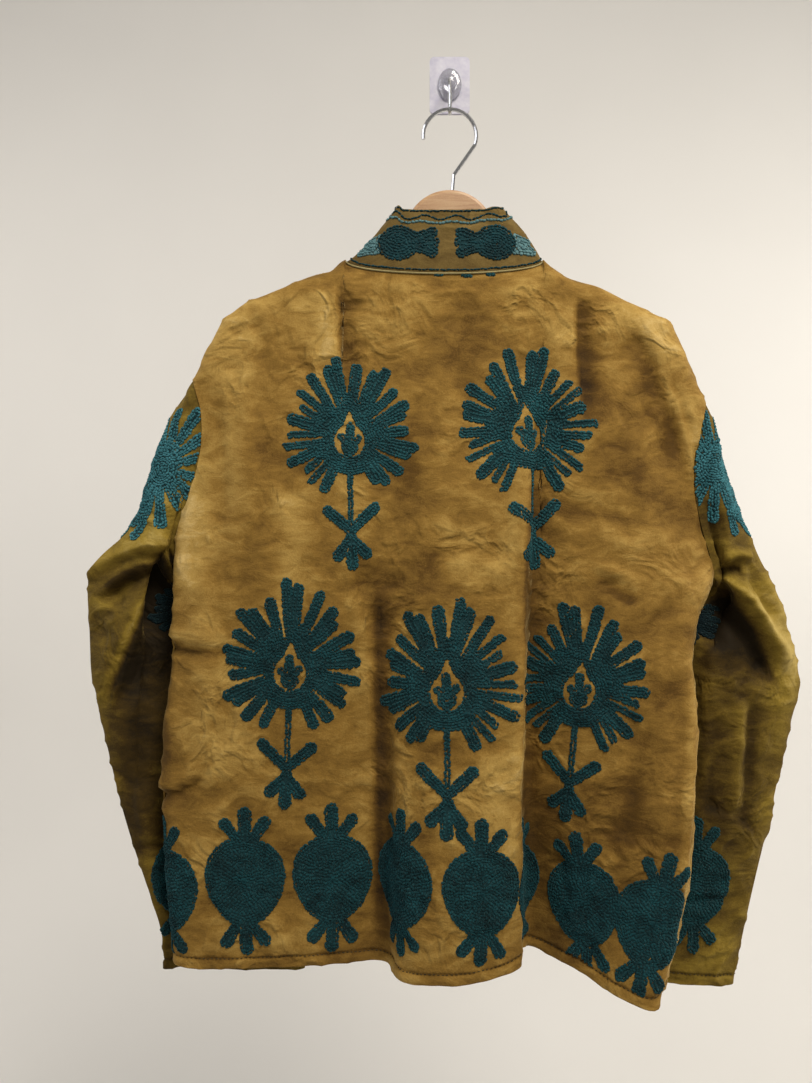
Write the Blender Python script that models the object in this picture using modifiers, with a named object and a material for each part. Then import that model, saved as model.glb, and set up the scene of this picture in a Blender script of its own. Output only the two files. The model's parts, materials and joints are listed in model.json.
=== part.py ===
"""An embroidered velvet jacket hanging on a wooden hanger from a stick-on wall hook.

Metres, +Z up. The wall is the plane y = 0 and the jacket's back faces -Y, so left
means -X, as it is seen. The origin is the centre of the wall plate's back face.
"""
import math

import bmesh
import bpy
import numpy as np
from mathutils import Vector

CLOTH = 0.002
SEAM_GAP = 0.0003
ARMHOLE_GAP = 0.0006
NARROW = 0.0015
ROW_TRIM = 0.00015

# The line along the top of the shoulders, outer surface: x, z.
RIDGE_Y = -0.028
LEFT_RIDGE = [
    (-0.2504, -0.3040), (-0.2373, -0.2797), (-0.2302, -0.2656), (-0.2240, -0.2535),
    (-0.2091, -0.2392), (-0.1778, -0.2224), (-0.1434, -0.2060), (-0.1150, -0.1975),
    (-0.1035, -0.1885),
]
RIGHT_RIDGE = [
    (0.0887, -0.1885), (0.1000, -0.2000), (0.1219, -0.2105), (0.1469, -0.2195),
    (0.1782, -0.2332), (0.1950, -0.2412), (0.2110, -0.2520), (0.2205, -0.2665),
    (0.2330, -0.2985), (0.2450, -0.3250),
]
NECK_LEFT, NECK_RIGHT = LEFT_RIDGE[-1], RIGHT_RIDGE[0]
NECK_BACK_DEPTH = 0.024
NECK_BACK_DROP = 0.0193
NECK_FRONT_DEPTH = 0.018
NECK_FRONT_DROP = 0.076
# Shape of the neckline in plan and in height: powers of its roundness.
NECK_BACK_POWERS, NECK_FRONT_POWERS = (0.5, 0.8), (0.3, 1.3)
FRONT_EDGE_LEFT_X = -0.0085
FRONT_EDGE_RIGHT_X = 0.0035

# How the cloth rolls over the shoulder: path length of the roll and its final slope.
BACK_ROLL, FRONT_ROLL = 0.038, 0.028
ROLL_END = math.radians(88)
NECK_SLOPE = math.radians(84)

# A panel's rows: shares of the roll, then shares of the height from the top edge to the
# armpit, and the number of equal steps from there to the hem.
ROLL_ROWS = [0.0, 0.1, 0.26, 0.46, 0.7, 1.0]
ARMHOLE_ROWS = [0.20, 0.34, 0.50, 0.67, 0.83, 0.95, 1.0]
ARMPITS = {"left": -0.4835, "right": -0.4990}
SIDE_ROWS = 12
SHOULDER_COLUMNS = 12
# Columns from the middle of the neck to its side, as shares of that half.
NECK_COLUMNS = [0.0, 0.135, 0.27, 0.405, 0.54, 0.67, 0.79, 0.89, 0.96, 0.992, 1.0]
COLLAR_ROWS = 5
# How far from the armhole its rounded lower end still shapes a panel.
ARMHOLE_REACH = 0.050

# Heights of the horizontal sections that the tables below give.
LEVELS = {"chest": -0.48, "waist": -0.62, "hip": -0.75, "hem": -0.865}

# Lines that run down the back from armpit level to the hem, left to right, as x, y at
# chest, waist, hip and hem, and the height where each ends at the hem.
BACK_LINES = [
    # name, chest x y, waist x y, hip x y, hem x y, hem z
    ("left seam", -0.265, -0.042, -0.276, -0.045, -0.277, -0.045, -0.268, -0.045, -0.864),
    ("left roll", -0.260, -0.054, -0.271, -0.058, -0.272, -0.058, -0.262, -0.058, -0.865),
    ("left flat", -0.205, -0.066, -0.205, -0.068, -0.200, -0.065, -0.197, -0.064, -0.865),
    ("left middle", -0.120, -0.066, -0.117, -0.066, -0.112, -0.063, -0.110, -0.062, -0.862),
    ("valley", -0.063, -0.064, -0.064, -0.062, -0.064, -0.059, -0.064, -0.058, -0.862),
    ("flank", -0.045, -0.067, -0.050, -0.073, -0.050, -0.084, -0.049, -0.087, -0.863),
    ("bulge left", -0.022, -0.071, -0.026, -0.088, -0.026, -0.101, -0.025, -0.104, -0.859),
    ("bulge right", 0.022, -0.075, 0.018, -0.096, 0.019, -0.107, 0.020, -0.109, -0.854),
    ("ridge", 0.064, -0.077, 0.058, -0.095, 0.058, -0.099, 0.058, -0.099, -0.846),
    ("under ridge", 0.0705, -0.069, 0.0595, -0.079, 0.061, -0.078, 0.060, -0.075, -0.846),
    ("tuck", 0.079, -0.063, 0.067, -0.058, 0.073, -0.050, 0.074, -0.045, -0.854),
    ("right middle", 0.120, -0.068, 0.118, -0.072, 0.116, -0.072, 0.112, -0.075, -0.860),
    ("right flat", 0.185, -0.070, 0.190, -0.088, 0.183, -0.100, 0.150, -0.104, -0.872),
    ("right roll", 0.228, -0.062, 0.222, -0.090, 0.208, -0.103, 0.175, -0.112, -0.876),
    ("right seam", 0.240, -0.045, 0.228, -0.075, 0.214, -0.090, 0.184, -0.098, -0.870),
]
# The same for the fronts, from the side seam to the front edge.
LEFT_FRONT_LINES = [
    ("roll", -0.262, -0.033, -0.272, -0.037, -0.273, -0.038, -0.264, -0.038, -0.865),
    ("side", -0.230, -0.029, -0.235, -0.038, -0.240, -0.039, -0.232, -0.039, -0.865),
    ("flat", -0.170, -0.024, -0.175, -0.034, -0.175, -0.040, -0.170, -0.041, -0.863),
    ("fold", -0.110, -0.020, -0.110, -0.026, -0.110, -0.033, -0.110, -0.036, -0.861),
    ("inner", -0.055, -0.018, -0.055, -0.024, -0.055, -0.022, -0.056, -0.020, -0.860),
    ("edge", -0.0085, -0.020, -0.010, -0.026, -0.012, -0.030, -0.016, -0.034, -0.858),
]
RIGHT_FRONT_LINES = [
    ("roll", 0.243, -0.036, 0.234, -0.060, 0.222, -0.074, 0.194, -0.082, -0.872),
    ("side", 0.225, -0.029, 0.224, -0.044, 0.212, -0.052, 0.190, -0.056, -0.870),
    ("flat", 0.170, -0.024, 0.185, -0.037, 0.178, -0.040, 0.160, -0.041, -0.866),
    ("fold", 0.115, -0.020, 0.120, -0.030, 0.120, -0.037, 0.110, -0.040, -0.862),
    ("inner", 0.060, -0.018, 0.060, -0.024, 0.060, -0.022, 0.056, -0.024, -0.860),
    ("edge", 0.0035, -0.020, 0.004, -0.026, 0.006, -0.028, 0.010, -0.030, -0.858),
]

# Where the armholes and the sides of the body stand, as seen from behind: z, x.
LEFT_EDGE = [
    (-0.3045, -0.2504), (-0.3450, -0.2405), (-0.3650, -0.2405), (-0.4000, -0.2465),
    (-0.4250, -0.2538), (-0.4550, -0.2644), (-0.4835, -0.2673), (-0.5200, -0.2696),
    (-0.5835, -0.2706), (-0.6240, -0.2754), (-0.6930, -0.2802), (-0.7510, -0.2763),
    (-0.8230, -0.2701), (-0.8660, -0.2672),
]
RIGHT_EDGE = [
    (-0.3250, 0.2450), (-0.3600, 0.2365), (-0.3900, 0.2325), (-0.4200, 0.2330),
    (-0.4500, 0.2390), (-0.4750, 0.2465), (-0.4970, 0.2515), (-0.5150, 0.2455),
    (-0.5380, 0.2320), (-0.5650, 0.2240), (-0.6440, 0.2225), (-0.7000, 0.2180),
    (-0.7325, 0.2150), (-0.8000, 0.2040), (-0.8420, 0.1930), (-0.8700, 0.1840),
]
EDGE_REACH = 0.035

# Each sleeve hangs flattened beside and behind the body: its outer and inner fold,
# as x, z, from just under the shoulder to the cuff.
LEFT_SLEEVE = [
    # outer x z, inner x z
    (-0.2705, -0.3344, -0.2755, -0.4985),
    (-0.2882, -0.3787, -0.2690, -0.5100),
    (-0.3049, -0.4347, -0.2600, -0.5300),
    (-0.3275, -0.4701, -0.2480, -0.5600),
    (-0.3545, -0.5035, -0.2348, -0.6068),
    (-0.3531, -0.5399, -0.2179, -0.6467),
    (-0.3455, -0.6134, -0.1979, -0.7020),
    (-0.3320, -0.6850, -0.1840, -0.7450),
    (-0.3157, -0.7473, -0.1700, -0.7892),
    (-0.2944, -0.8122, -0.1581, -0.8261),
    (-0.2843, -0.8530, -0.1501, -0.8680),
    (-0.2825, -0.8840, -0.1461, -0.8880),
]
RIGHT_SLEEVE = [
    (0.2640, -0.3836, 0.2605, -0.5125),
    (0.2834, -0.4435, 0.2440, -0.5330),
    (0.2997, -0.4779, 0.2250, -0.5620),
    (0.3164, -0.5133, 0.2060, -0.6000),
    (0.3321, -0.5605, 0.1950, -0.6380),
    (0.3390, -0.5920, 0.1889, -0.6716),
    (0.3321, -0.6391, 0.1789, -0.7065),
    (0.3205, -0.6900, 0.1660, -0.7593),
    (0.3111, -0.7353, 0.1560, -0.7992),
    (0.2975, -0.7925, 0.1490, -0.8291),
    (0.2858, -0.8457, 0.1430, -0.8590),
    (0.2758, -0.8955, 0.1391, -0.8830),
]
SLEEVE_RINGS = 18
SLEEVE_START = 0.010
BESIDE_BODY = (-0.0315, 0.0225)
BEHIND_BODY = (-0.0190, 0.0105)
UNDERARM_Z, UNDERARM_BLEND = -0.478, 0.030
CUFF_FLATNESS = 0.55

# The stand collar: its height at the back, the two sides and the front, how far it leans
# inward at the sides and to the wall at the back, and the power that bows each side.
COLLAR_BACK, COLLAR_LEFT, COLLAR_RIGHT, COLLAR_FRONT = 0.064, 0.072, 0.067, 0.060
COLLAR_LEAN_LEFT, COLLAR_LEAN_RIGHT, COLLAR_LEAN_BACK = 0.70, 0.60, 0.11
COLLAR_BOW_LEFT, COLLAR_BOW_RIGHT = 0.82, 1.3
COLLAR_TURN = 0.42

# Wooden hanger: a flat bar with a domed middle.
HANGER_X = -0.0015
HANGER_HALF_LENGTH = 0.2055
HANGER_HALF_THICKNESS = 0.006
HANGER_ROUNDING = 0.004
HANGER_DEPTH = 0.026
# Height of an arm's upper edge at the middle, its slope and how that steepens outward.
HANGER_ARM = (-0.1667, -0.3025, -0.375)
HANGER_TILT = math.radians(1.8)
DOME_TOP, DOME_RADIUS = -0.1182, 0.0445

# Hanger hook: round wire through these points, x, z, from its tip to the wood.
HOOK_WIRE = 0.0038
HOOK_CENTRE = (-0.0012, -0.0640)
HOOK_RADIUS = 0.0262
HOOK_TIP_ANGLE, HOOK_END_ANGLE = 187, -20
HOOK_KNEE = (0.0027, -0.1026)

# Wall hook: plate, boss and pin.
PLATE_WIDTH, PLATE_HEIGHT, PLATE_THICKNESS, PLATE_CORNER = 0.0407, 0.0580, 0.0030, 0.0050
BOSS_WIDTH, BOSS_HEIGHT, BOSS_DEPTH = 0.0240, 0.0330, 0.0100
BOSS_PROFILE = [
    # radius and height, as shares of the boss's radius and depth
    (0.0, 1.0), (0.25, 0.95), (0.45, 0.75), (0.54, 0.45), (0.62, 0.33), (0.83, 0.28),
    (0.97, 0.20), (1.0, 0.08), (1.0, 0.0), (0.0, 0.0),
]
PIN_WIRE = 0.0034
PIN_BEND = 0.0041
PIN_TIP_Z = -0.0243

COLOURS = {
    "back_panel": ("8f6d2b", 0.75, 0.0),
    "front_panel_left": ("8a6929", 0.75, 0.0),
    "front_panel_right": ("8a6929", 0.75, 0.0),
    "sleeve_left": ("6e5c22", 0.75, 0.0),
    "sleeve_right": ("7c6426", 0.75, 0.0),
    "collar": ("927233", 0.75, 0.0),
    "hanger_bar": ("c89a70", 0.45, 0.0),
    "hanger_hook": ("c8c8ca", 0.2, 1.0),
    "wall_plate": ("b9b8c8", 0.3, 0.0),
    "wall_boss": ("cfd0d6", 0.15, 0.0),
    "wall_pin": ("8e8c88", 0.25, 1.0),
}


def smooth01(value):
    """0 below 0, 1 above 1 and a soft step between."""
    value = np.clip(value, 0.0, 1.0)
    return value * value * (3.0 - 2.0 * value)


def mix(a, b, share):
    return a + (b - a) * share


def curve_through(positions, values, at):
    """Read a smooth curve through values (rows) at positions, held level past its ends."""
    positions = np.asarray(positions, float)
    values = np.asarray(values, float)
    if positions[0] > positions[-1]:
        positions, values = positions[::-1], values[::-1]
    slopes = np.gradient(values, positions, axis=0)
    at = np.clip(np.atleast_1d(at).astype(float), positions[0], positions[-1])
    i = np.clip(np.searchsorted(positions, at) - 1, 0, len(positions) - 2)
    span = positions[i + 1] - positions[i]
    t = (at - positions[i]) / span
    shape = (-1,) + (1,) * (values.ndim - 1)
    t, span = t.reshape(shape), span.reshape(shape)
    return (
        values[i] * (1 + 2 * t) * (1 - t) ** 2
        + slopes[i] * span * t * (1 - t) ** 2
        + values[i + 1] * t * t * (3 - 2 * t)
        + slopes[i + 1] * span * t * t * (t - 1)
    )


class Body:
    """The hanging body of the jacket, as sections that run from front edge to front edge."""

    STEP = 0.004
    FINE = 24
    ABOVE = 0.080

    def __init__(self):
        lines = LEFT_FRONT_LINES[::-1] + BACK_LINES + RIGHT_FRONT_LINES
        table = np.array([line[1:9] for line in lines]).reshape(len(lines), 4, 2)
        self.left = len(LEFT_FRONT_LINES)
        self.right = self.left + len(BACK_LINES) - 1
        self.hem_z = np.array([line[9] for line in lines])
        low = min(self.hem_z) - 0.01
        levels = [LEVELS["chest"] + self.ABOVE, *LEVELS.values()]
        table = np.concatenate([table[:, :1], table], axis=1)
        self.heights = np.arange(levels[0], low, -self.STEP)
        guides = curve_through(levels, table.transpose(1, 0, 2), self.heights)
        self.sections = [self.trace(points, z) for points, z in zip(guides, self.heights)]

    def trace(self, points, z):
        """One section as a fine polyline, with its arc length measured along it."""
        spans = np.sqrt(np.linalg.norm(np.diff(points, axis=0), axis=1))
        knots = np.concatenate([[0.0], np.cumsum(spans)])
        at = np.concatenate([
            np.linspace(a, b, self.FINE, endpoint=False) for a, b in zip(knots[:-1], knots[1:])
        ] + [[knots[-1]]])
        line = curve_through(knots, points, at)
        arc = np.concatenate([[0.0], np.cumsum(np.linalg.norm(np.diff(line, axis=0), axis=1))])
        for index, edge in ((self.left, LEFT_EDGE), (self.right, RIGHT_EDGE)):
            k = index * self.FINE
            shift = edge_x(edge, z) - line[k, 0]
            line[:, 0] += shift * np.exp(-((arc - arc[k]) / EDGE_REACH) ** 2)
        arc = np.concatenate([[0.0], np.cumsum(np.linalg.norm(np.diff(line, axis=0), axis=1))])
        return line, arc

    def stretch(self, side):
        """The first and last guide of a panel, in the direction of its columns."""
        last = len(LEFT_FRONT_LINES) + len(BACK_LINES) + len(RIGHT_FRONT_LINES) - 1
        return {"back": (self.left, self.right), "left": (self.left, 0),
                "right": (self.right, last)}[side]

    def read(self, side, shares, z):
        """x and y of a panel at the given shares of its arc length, one height for each."""
        first, last = self.stretch(side)
        rows = []
        for line, arc in self.sections:
            a, b = arc[first * self.FINE], arc[last * self.FINE]
            at = a + (b - a) * shares
            rows.append(np.stack([np.interp(at, arc, line[:, k]) for k in (0, 1)], axis=-1))
        rows = np.array(rows)
        place = np.clip((self.heights[0] - z) / self.STEP, 0, len(rows) - 1.001)
        i = place.astype(int)
        t = (place - i)[..., None]
        columns = np.arange(len(shares))
        return rows[i, columns] * (1 - t) + rows[i + 1, columns] * t

    def hem(self, side, shares):
        """Height of the hem at the given shares of a panel's width."""
        first, last = self.stretch(side)
        line, arc = self.sections[-1]
        knots = arc[np.arange(len(self.hem_z)) * self.FINE]
        a, b = knots[first], knots[last]
        return curve_through(knots, self.hem_z, a + (b - a) * shares)


def edge_x(table, z):
    heights, places = zip(*table)
    return float(curve_through(heights, places, z)[0])


def panel_columns(side):
    """Shares of a panel's width where its columns stand, and x, y, z of its top edge."""
    left_x, right_x = LEFT_RIDGE[0][0], RIGHT_RIDGE[-1][0]
    half = np.array(NECK_COLUMNS)
    if side == "back":
        start, stop, neck_a, neck_b = left_x, right_x, NECK_LEFT[0], NECK_RIGHT[0]
        neck = mix(neck_a, neck_b, (np.concatenate([-half[:0:-1], half]) + 1) / 2)
        far = mix(neck_b, stop, np.linspace(0, 1, SHOULDER_COLUMNS + 1))[1:]
    elif side == "left":
        start, stop, neck_a, neck_b = left_x, FRONT_EDGE_LEFT_X, NECK_LEFT[0], FRONT_EDGE_LEFT_X
    else:
        start, stop, neck_a, neck_b = right_x, FRONT_EDGE_RIGHT_X, NECK_RIGHT[0], FRONT_EDGE_RIGHT_X
    if side != "back":
        neck = mix(neck_a, neck_b, 1 - half[::-1])
        far = np.zeros(0)
    near = mix(start, neck_a, np.linspace(0, 1, SHOULDER_COLUMNS + 1))[:-1]
    x = np.concatenate([near, neck, far])
    toward = 1 if stop > start else -1
    x = np.insert(x, 1, start + toward * NARROW)
    x[0] = start + toward * ROW_TRIM
    if side == "back":
        x = np.insert(x, len(x) - 1, stop - NARROW)
        x[-1] = stop - ROW_TRIM
    return (x - start) / (stop - start), top_edge(side, x)


def top_edge(side, x):
    """The panel's upper edge at x: y, z and how far the cloth has turned down already."""
    ridge = curve_through(*zip(*(LEFT_RIDGE + RIGHT_RIDGE)), x)
    y = np.full_like(x, RIDGE_Y)
    turned = np.zeros_like(x)
    inside = (x > NECK_LEFT[0]) & (x < NECK_RIGHT[0])
    if side == "back":
        half = (NECK_RIGHT[0] - NECK_LEFT[0]) / 2
        middle = (NECK_RIGHT[0] + NECK_LEFT[0]) / 2
        base = np.interp(x, [NECK_LEFT[0], NECK_RIGHT[0]], [NECK_LEFT[1], NECK_RIGHT[1]])
        drop, depth, powers = NECK_BACK_DROP, -NECK_BACK_DEPTH, NECK_BACK_POWERS
    else:
        edge, corner = {
            "left": (FRONT_EDGE_LEFT_X, NECK_LEFT), "right": (FRONT_EDGE_RIGHT_X, NECK_RIGHT),
        }[side]
        half, middle, base = abs(edge - corner[0]), edge, corner[1]
        drop, depth, powers = NECK_FRONT_DROP, NECK_FRONT_DEPTH, NECK_FRONT_POWERS
    round_part = np.sqrt(np.clip(1 - ((x - middle) / half) ** 2, 0, 1))
    ridge[inside] = (base - drop * round_part ** powers[1])[inside]
    y[inside] += (depth * round_part ** powers[0])[inside]
    turned[inside] = round_part[inside] ** powers[0]
    return np.stack([x, y, ridge, turned], axis=-1)


def panel_points(body, side):
    """All points of a panel's outer surface, rows from the top edge down to the hem."""
    shares, top = panel_columns(side)
    top_z = top[:, 2]
    hem = body.hem(side, shares)
    sign, roll = (-1, BACK_ROLL) if side == "back" else (1, FRONT_ROLL)
    path = np.linspace(0, roll, 40)
    slope = mix(top[:, 3:] * NECK_SLOPE, ROLL_END, smooth01(path / roll)[None, :])
    out = np.cumsum(np.cos(slope), axis=1) * path[1]
    down = np.cumsum(np.sin(slope), axis=1) * path[1]
    out, down = out - out[:, :1], down - down[:, :1]
    heights, depths = [], []
    for share in ROLL_ROWS:
        at = max(share * roll, ROW_TRIM)
        heights.append(top_z - [np.interp(at, path, d) for d in down])
        depth = top[:, 1] + sign * np.array([np.interp(at, path, o) for o in out])
        end = top[:, 1] + sign * out[:, -1]
        depths.append(depth + (end[0] - end) * share)
    across = shares if side == "back" else np.full_like(shares, side == "right")
    armpit = mix(ARMPITS["left"], ARMPITS["right"], across)
    heights += [mix(top_z, armpit, share) for share in ARMHOLE_ROWS]
    heights += [mix(armpit, hem, share) for share in np.linspace(0, 1, SIDE_ROWS + 1)[1:]]
    depths += [depths[-1]] * (len(heights) - len(depths))
    roll_end = top_z - down[:, -1]
    away = np.abs(top[:, 0] - top[0, 0])
    if side == "back":
        away = np.minimum(away, np.abs(top[:, 0] - top[-1, 0]))
    near_arm = np.exp(-(away / ARMHOLE_REACH) ** 2)
    grid = []
    for z, y in zip(heights, depths):
        section = body.read(side, shares, z)
        sunk = np.clip((roll_end - z) / (roll_end - armpit), 0, 1)
        into = mix(smooth01(sunk), 1 - np.sqrt(1 - sunk ** 2), near_arm)
        spread = smooth01((top_z - z) / (top_z - armpit))
        x = mix(top[:, 0], section[:, 0], spread)
        x += edge_pull(side, x, z)
        grid.append(np.stack([x, mix(y, section[:, 1], into), z], axis=-1))
    return np.array(grid)


def edge_pull(side, x, z):
    """Draws a panel's side to the armhole and body line, fading inward."""
    pull = np.zeros_like(x)
    ends = {"back": ((0, LEFT_EDGE), (-1, RIGHT_EDGE)), "left": ((0, LEFT_EDGE),),
            "right": ((0, RIGHT_EDGE),)}[side]
    for index, table in ends:
        away = np.abs(x - x[index])
        start = table[0][1]
        trim = ROW_TRIM * np.sign(-start)
        pull += (edge_x(table, z[index]) + trim - x[index]) * np.exp(-((away / EDGE_REACH) ** 2))
    return pull


def sleeve_points(table, edge_table, back_edge, back_next, front_edge, front_next):
    """Rings of a sleeve from the armhole to the cuff; each starts at the outer fold."""
    loop = np.concatenate([back_edge, front_edge[-2:0:-1]])
    inside = np.concatenate([back_next, front_next[-2:0:-1]])
    count = len(loop)
    outward = np.sign(table[0][0])
    tangent = loop - inside
    tangent /= np.linalg.norm(tangent, axis=1)[:, None]
    low = smooth01(1.6 * (loop[0, 2] - loop[:, 2]) / (loop[0, 2] - loop[:, 2].min()) - 0.6)[:, None]
    under = np.array([0.8 * outward, 0.0, -0.6])
    tangent = mix(tangent, under, low)
    along = np.roll(loop, -1, axis=0) - np.roll(loop, 1, axis=0)
    along /= np.linalg.norm(along, axis=1)[:, None]
    tangent -= along * (tangent * along).sum(axis=1)[:, None]
    tangent /= np.linalg.norm(tangent, axis=1)[:, None]
    rings = [loop + tangent * d for d in (ARMHOLE_GAP, ARMHOLE_GAP + NARROW, SLEEVE_START)]
    angle = 2 * math.pi * np.arange(count) / count
    rows = curve_through(np.arange(len(table)), table, np.linspace(0, len(table) - 1, SLEEVE_RINGS))
    for step, (ox, oz, ix, iz) in enumerate(rows):
        flat = mix(1.0, CUFF_FLATNESS, (step / (len(rows) - 1)) ** 2)
        share = (1 + np.cos(angle)) / 2
        x, z = mix(ix, ox, share), mix(iz, oz, share)
        past = outward * (x - np.array([edge_x(edge_table, height) for height in z]))
        beside = smooth01((past + 0.002) / 0.03)
        beside = np.maximum(beside, 1 - smooth01((UNDERARM_Z - z) / UNDERARM_BLEND))
        middle = mix(BEHIND_BODY[0], BESIDE_BODY[0], beside)
        half = flat * mix(BEHIND_BODY[1], BESIDE_BODY[1], beside)
        y = middle - half * np.sign(np.sin(angle)) * np.abs(np.sin(angle)) ** 0.8
        rings.append(np.stack([x, y, z], axis=-1))
    return np.array(rings)


def collar_points(left_top, back_top, right_top):
    """Rows of the collar, from the neckline up; columns run from front edge to front edge."""
    base = np.concatenate([left_top[::-1], back_top[1:], right_top[1:]])
    left_corner = len(left_top) - 1
    right_corner = left_corner + len(back_top) - 1
    index = np.arange(len(base))
    x_left, x_right = base[left_corner, 0], base[right_corner, 0]
    across = (base[:, 0] - (x_left + x_right) / 2) / ((x_right - x_left) / 2)
    on_back = (index >= left_corner) & (index <= right_corner)
    ahead = np.where(index < left_corner, (left_corner - index) / left_corner,
                     (index - right_corner) / (len(base) - 1 - right_corner))
    sideways = np.clip((np.abs(across) - COLLAR_TURN) / (1 - COLLAR_TURN), 0, 1)
    on_left = index <= (left_corner + right_corner) / 2
    side = np.where(on_left, 1, -1)
    lean = sideways * np.where(on_left, COLLAR_LEAN_LEFT, COLLAR_LEAN_RIGHT)
    back = np.where(on_back, COLLAR_LEAN_BACK * (1 - sideways), 0.0)
    ends = np.where(on_left, COLLAR_LEFT, COLLAR_RIGHT)
    tall = np.where(on_back, mix(COLLAR_BACK, ends, sideways), mix(ends, COLLAR_FRONT, ahead))
    way = np.stack([side * lean, back, np.sqrt(1 - lean ** 2 - back ** 2)], axis=-1)
    bow = np.where(on_left, COLLAR_BOW_LEFT, COLLAR_BOW_RIGHT)
    rows = []
    for rise in np.linspace(0, 1, COLLAR_ROWS):
        reach = np.stack([tall * rise ** bow, tall * rise, tall * rise], axis=-1)
        rows.append(base + way * (SEAM_GAP + reach))
    return np.array(rows)


def material(name):
    colour, rough, metal = COLOURS[name]
    channel = [int(colour[i:i + 2], 16) / 255 for i in (0, 2, 4)]
    linear = [c / 12.92 if c <= 0.04045 else ((c + 0.055) / 1.055) ** 2.4 for c in channel]
    made = bpy.data.materials.new(name)
    made.use_nodes = True
    shader = made.node_tree.nodes["Principled BSDF"]
    shader.inputs["Base Color"].default_value = (*linear, 1.0)
    shader.inputs["Roughness"].default_value = rough
    shader.inputs["Metallic"].default_value = metal
    return made


def keep(name, data, home):
    """Put an object with its own material into the jacket's collection."""
    made = bpy.data.objects.new(name, data)
    data.materials.append(material(name))
    home.objects.link(made)
    return made


def cloth(name, points, home, inside, closed=False):
    """A grid of points as a wall of cloth, the points on its outer face."""
    rows, columns = points.shape[:2]
    mesh = bmesh.new()
    verts = [[mesh.verts.new(p) for p in row] for row in points]
    for r in range(rows - 1):
        for c in range(columns if closed else columns - 1):
            n = (c + 1) % columns
            mesh.faces.new((verts[r][c], verts[r][n], verts[r + 1][n], verts[r + 1][c]))
    mesh.normal_update()
    centre = Vector(inside)
    outward = sum((f.calc_center_median() - centre).dot(f.normal) * f.calc_area() for f in mesh.faces)
    if outward < 0:
        bmesh.ops.reverse_faces(mesh, faces=mesh.faces[:])
    for face in mesh.faces:
        face.smooth = True
    data = bpy.data.meshes.new(name)
    mesh.to_mesh(data)
    mesh.free()
    wall = keep(name, data, home).modifiers.new("wall", "SOLIDIFY")
    wall.thickness = CLOTH
    wall.offset = -1.0


def jacket(home):
    body = Body()
    back = panel_points(body, "back")
    left = panel_points(body, "left")
    right = panel_points(body, "right")
    collar_line = [p[0, SHOULDER_COLUMNS + 1:] for p in (left, right)]
    neck = back[0, SHOULDER_COLUMNS + 1:-SHOULDER_COLUMNS - 1]
    chest = (0.0, -0.045, -0.55)
    cloth("back_panel", back, home, chest)
    cloth("front_panel_left", left, home, chest)
    cloth("front_panel_right", right, home, chest)
    arm = len(ROLL_ROWS) + len(ARMHOLE_ROWS)
    for name, table, edge, column, step, front in (
        ("sleeve_left", LEFT_SLEEVE, LEFT_EDGE, 0, 1, left),
        ("sleeve_right", RIGHT_SLEEVE, RIGHT_EDGE, -1, -1, right),
    ):
        rings = sleeve_points(
            table, edge, back[:arm, column], back[:arm, column + step],
            front[:arm, 0], front[:arm, 1],
        )
        cloth(name, rings, home, rings.mean(axis=(0, 1)), closed=True)
    collar = collar_points(collar_line[0], neck, collar_line[1])
    cloth("collar", collar, home, (HANGER_X, RIDGE_Y, -0.17))


def hanger_bar(home):
    """The flat wooden bar: two arms that curve down under the shoulders, a domed middle."""
    half = HANGER_DEPTH / 2
    reach = HANGER_HALF_LENGTH - half
    turn = np.radians(np.arange(15, 90, 15))
    straight = np.concatenate([
        np.linspace(0, DOME_RADIUS, 13), np.linspace(DOME_RADIUS, reach, 13)[1:],
    ])
    side = np.concatenate([straight, reach + half * np.sin(turn), [reach + half]])
    tall = np.concatenate([np.full(len(straight), half), half * np.cos(turn), [0.0]])
    away = np.concatenate([-side[:0:-1], side])
    tall = np.concatenate([tall[:0:-1], tall])
    x = HANGER_X + away
    start, slope, steepen = HANGER_ARM
    middle = start + slope * np.abs(away) + steepen * away ** 2 - half
    middle -= away * math.tan(HANGER_TILT)
    rise = np.sqrt(np.clip(DOME_RADIUS ** 2 - away ** 2, 0, None))
    dome = DOME_TOP - DOME_RADIUS + rise
    upper = np.maximum(middle + tall, np.where(rise > 0, dome, -1.0))
    lower = middle - tall
    outline = list(zip(x, upper)) + list(zip(x[-2:0:-1], lower[-2:0:-1]))
    data = bpy.data.curves.new("hanger_bar", "CURVE")
    data.dimensions = "2D"
    data.fill_mode = "BOTH"
    line = data.splines.new("POLY")
    line.points.add(len(outline) - 1)
    for point, (px, pz) in zip(line.points, outline):
        point.co = (px, pz, 0.0, 1.0)
    line.use_cyclic_u = True
    data.extrude = HANGER_HALF_THICKNESS - HANGER_ROUNDING
    data.bevel_depth = HANGER_ROUNDING
    data.offset = -HANGER_ROUNDING
    data.bevel_resolution = 1
    bar = keep("hanger_bar", data, home)
    bar.rotation_euler = (math.radians(90), 0.0, 0.0)
    bar.location = (0.0, RIDGE_Y, 0.0)


def wire(name, points, diameter, home):
    """Round wire through the given points."""
    data = bpy.data.curves.new(name, "CURVE")
    data.dimensions = "3D"
    data.bevel_depth = diameter / 2
    data.bevel_resolution = 2
    data.use_fill_caps = True
    line = data.splines.new("POLY")
    line.points.add(len(points) - 1)
    for point, place in zip(line.points, points):
        point.co = (*place, 1.0)
    keep(name, data, home)


def arc(centre, radius, start, stop, count):
    turns = np.radians(np.linspace(start, stop, count))
    return [(centre[0] + radius * math.cos(a), centre[1] + radius * math.sin(a)) for a in turns]


def hanger_hook(home):
    curve = arc(HOOK_CENTRE, HOOK_RADIUS, HOOK_TIP_ANGLE, HOOK_END_ANGLE, 22)
    foot = (HOOK_KNEE[0] - 0.0013, DOME_TOP + SEAM_GAP)
    wire("hanger_hook", [(x, RIDGE_Y, z) for x, z in [*curve, HOOK_KNEE, foot]], HOOK_WIRE, home)


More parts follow.
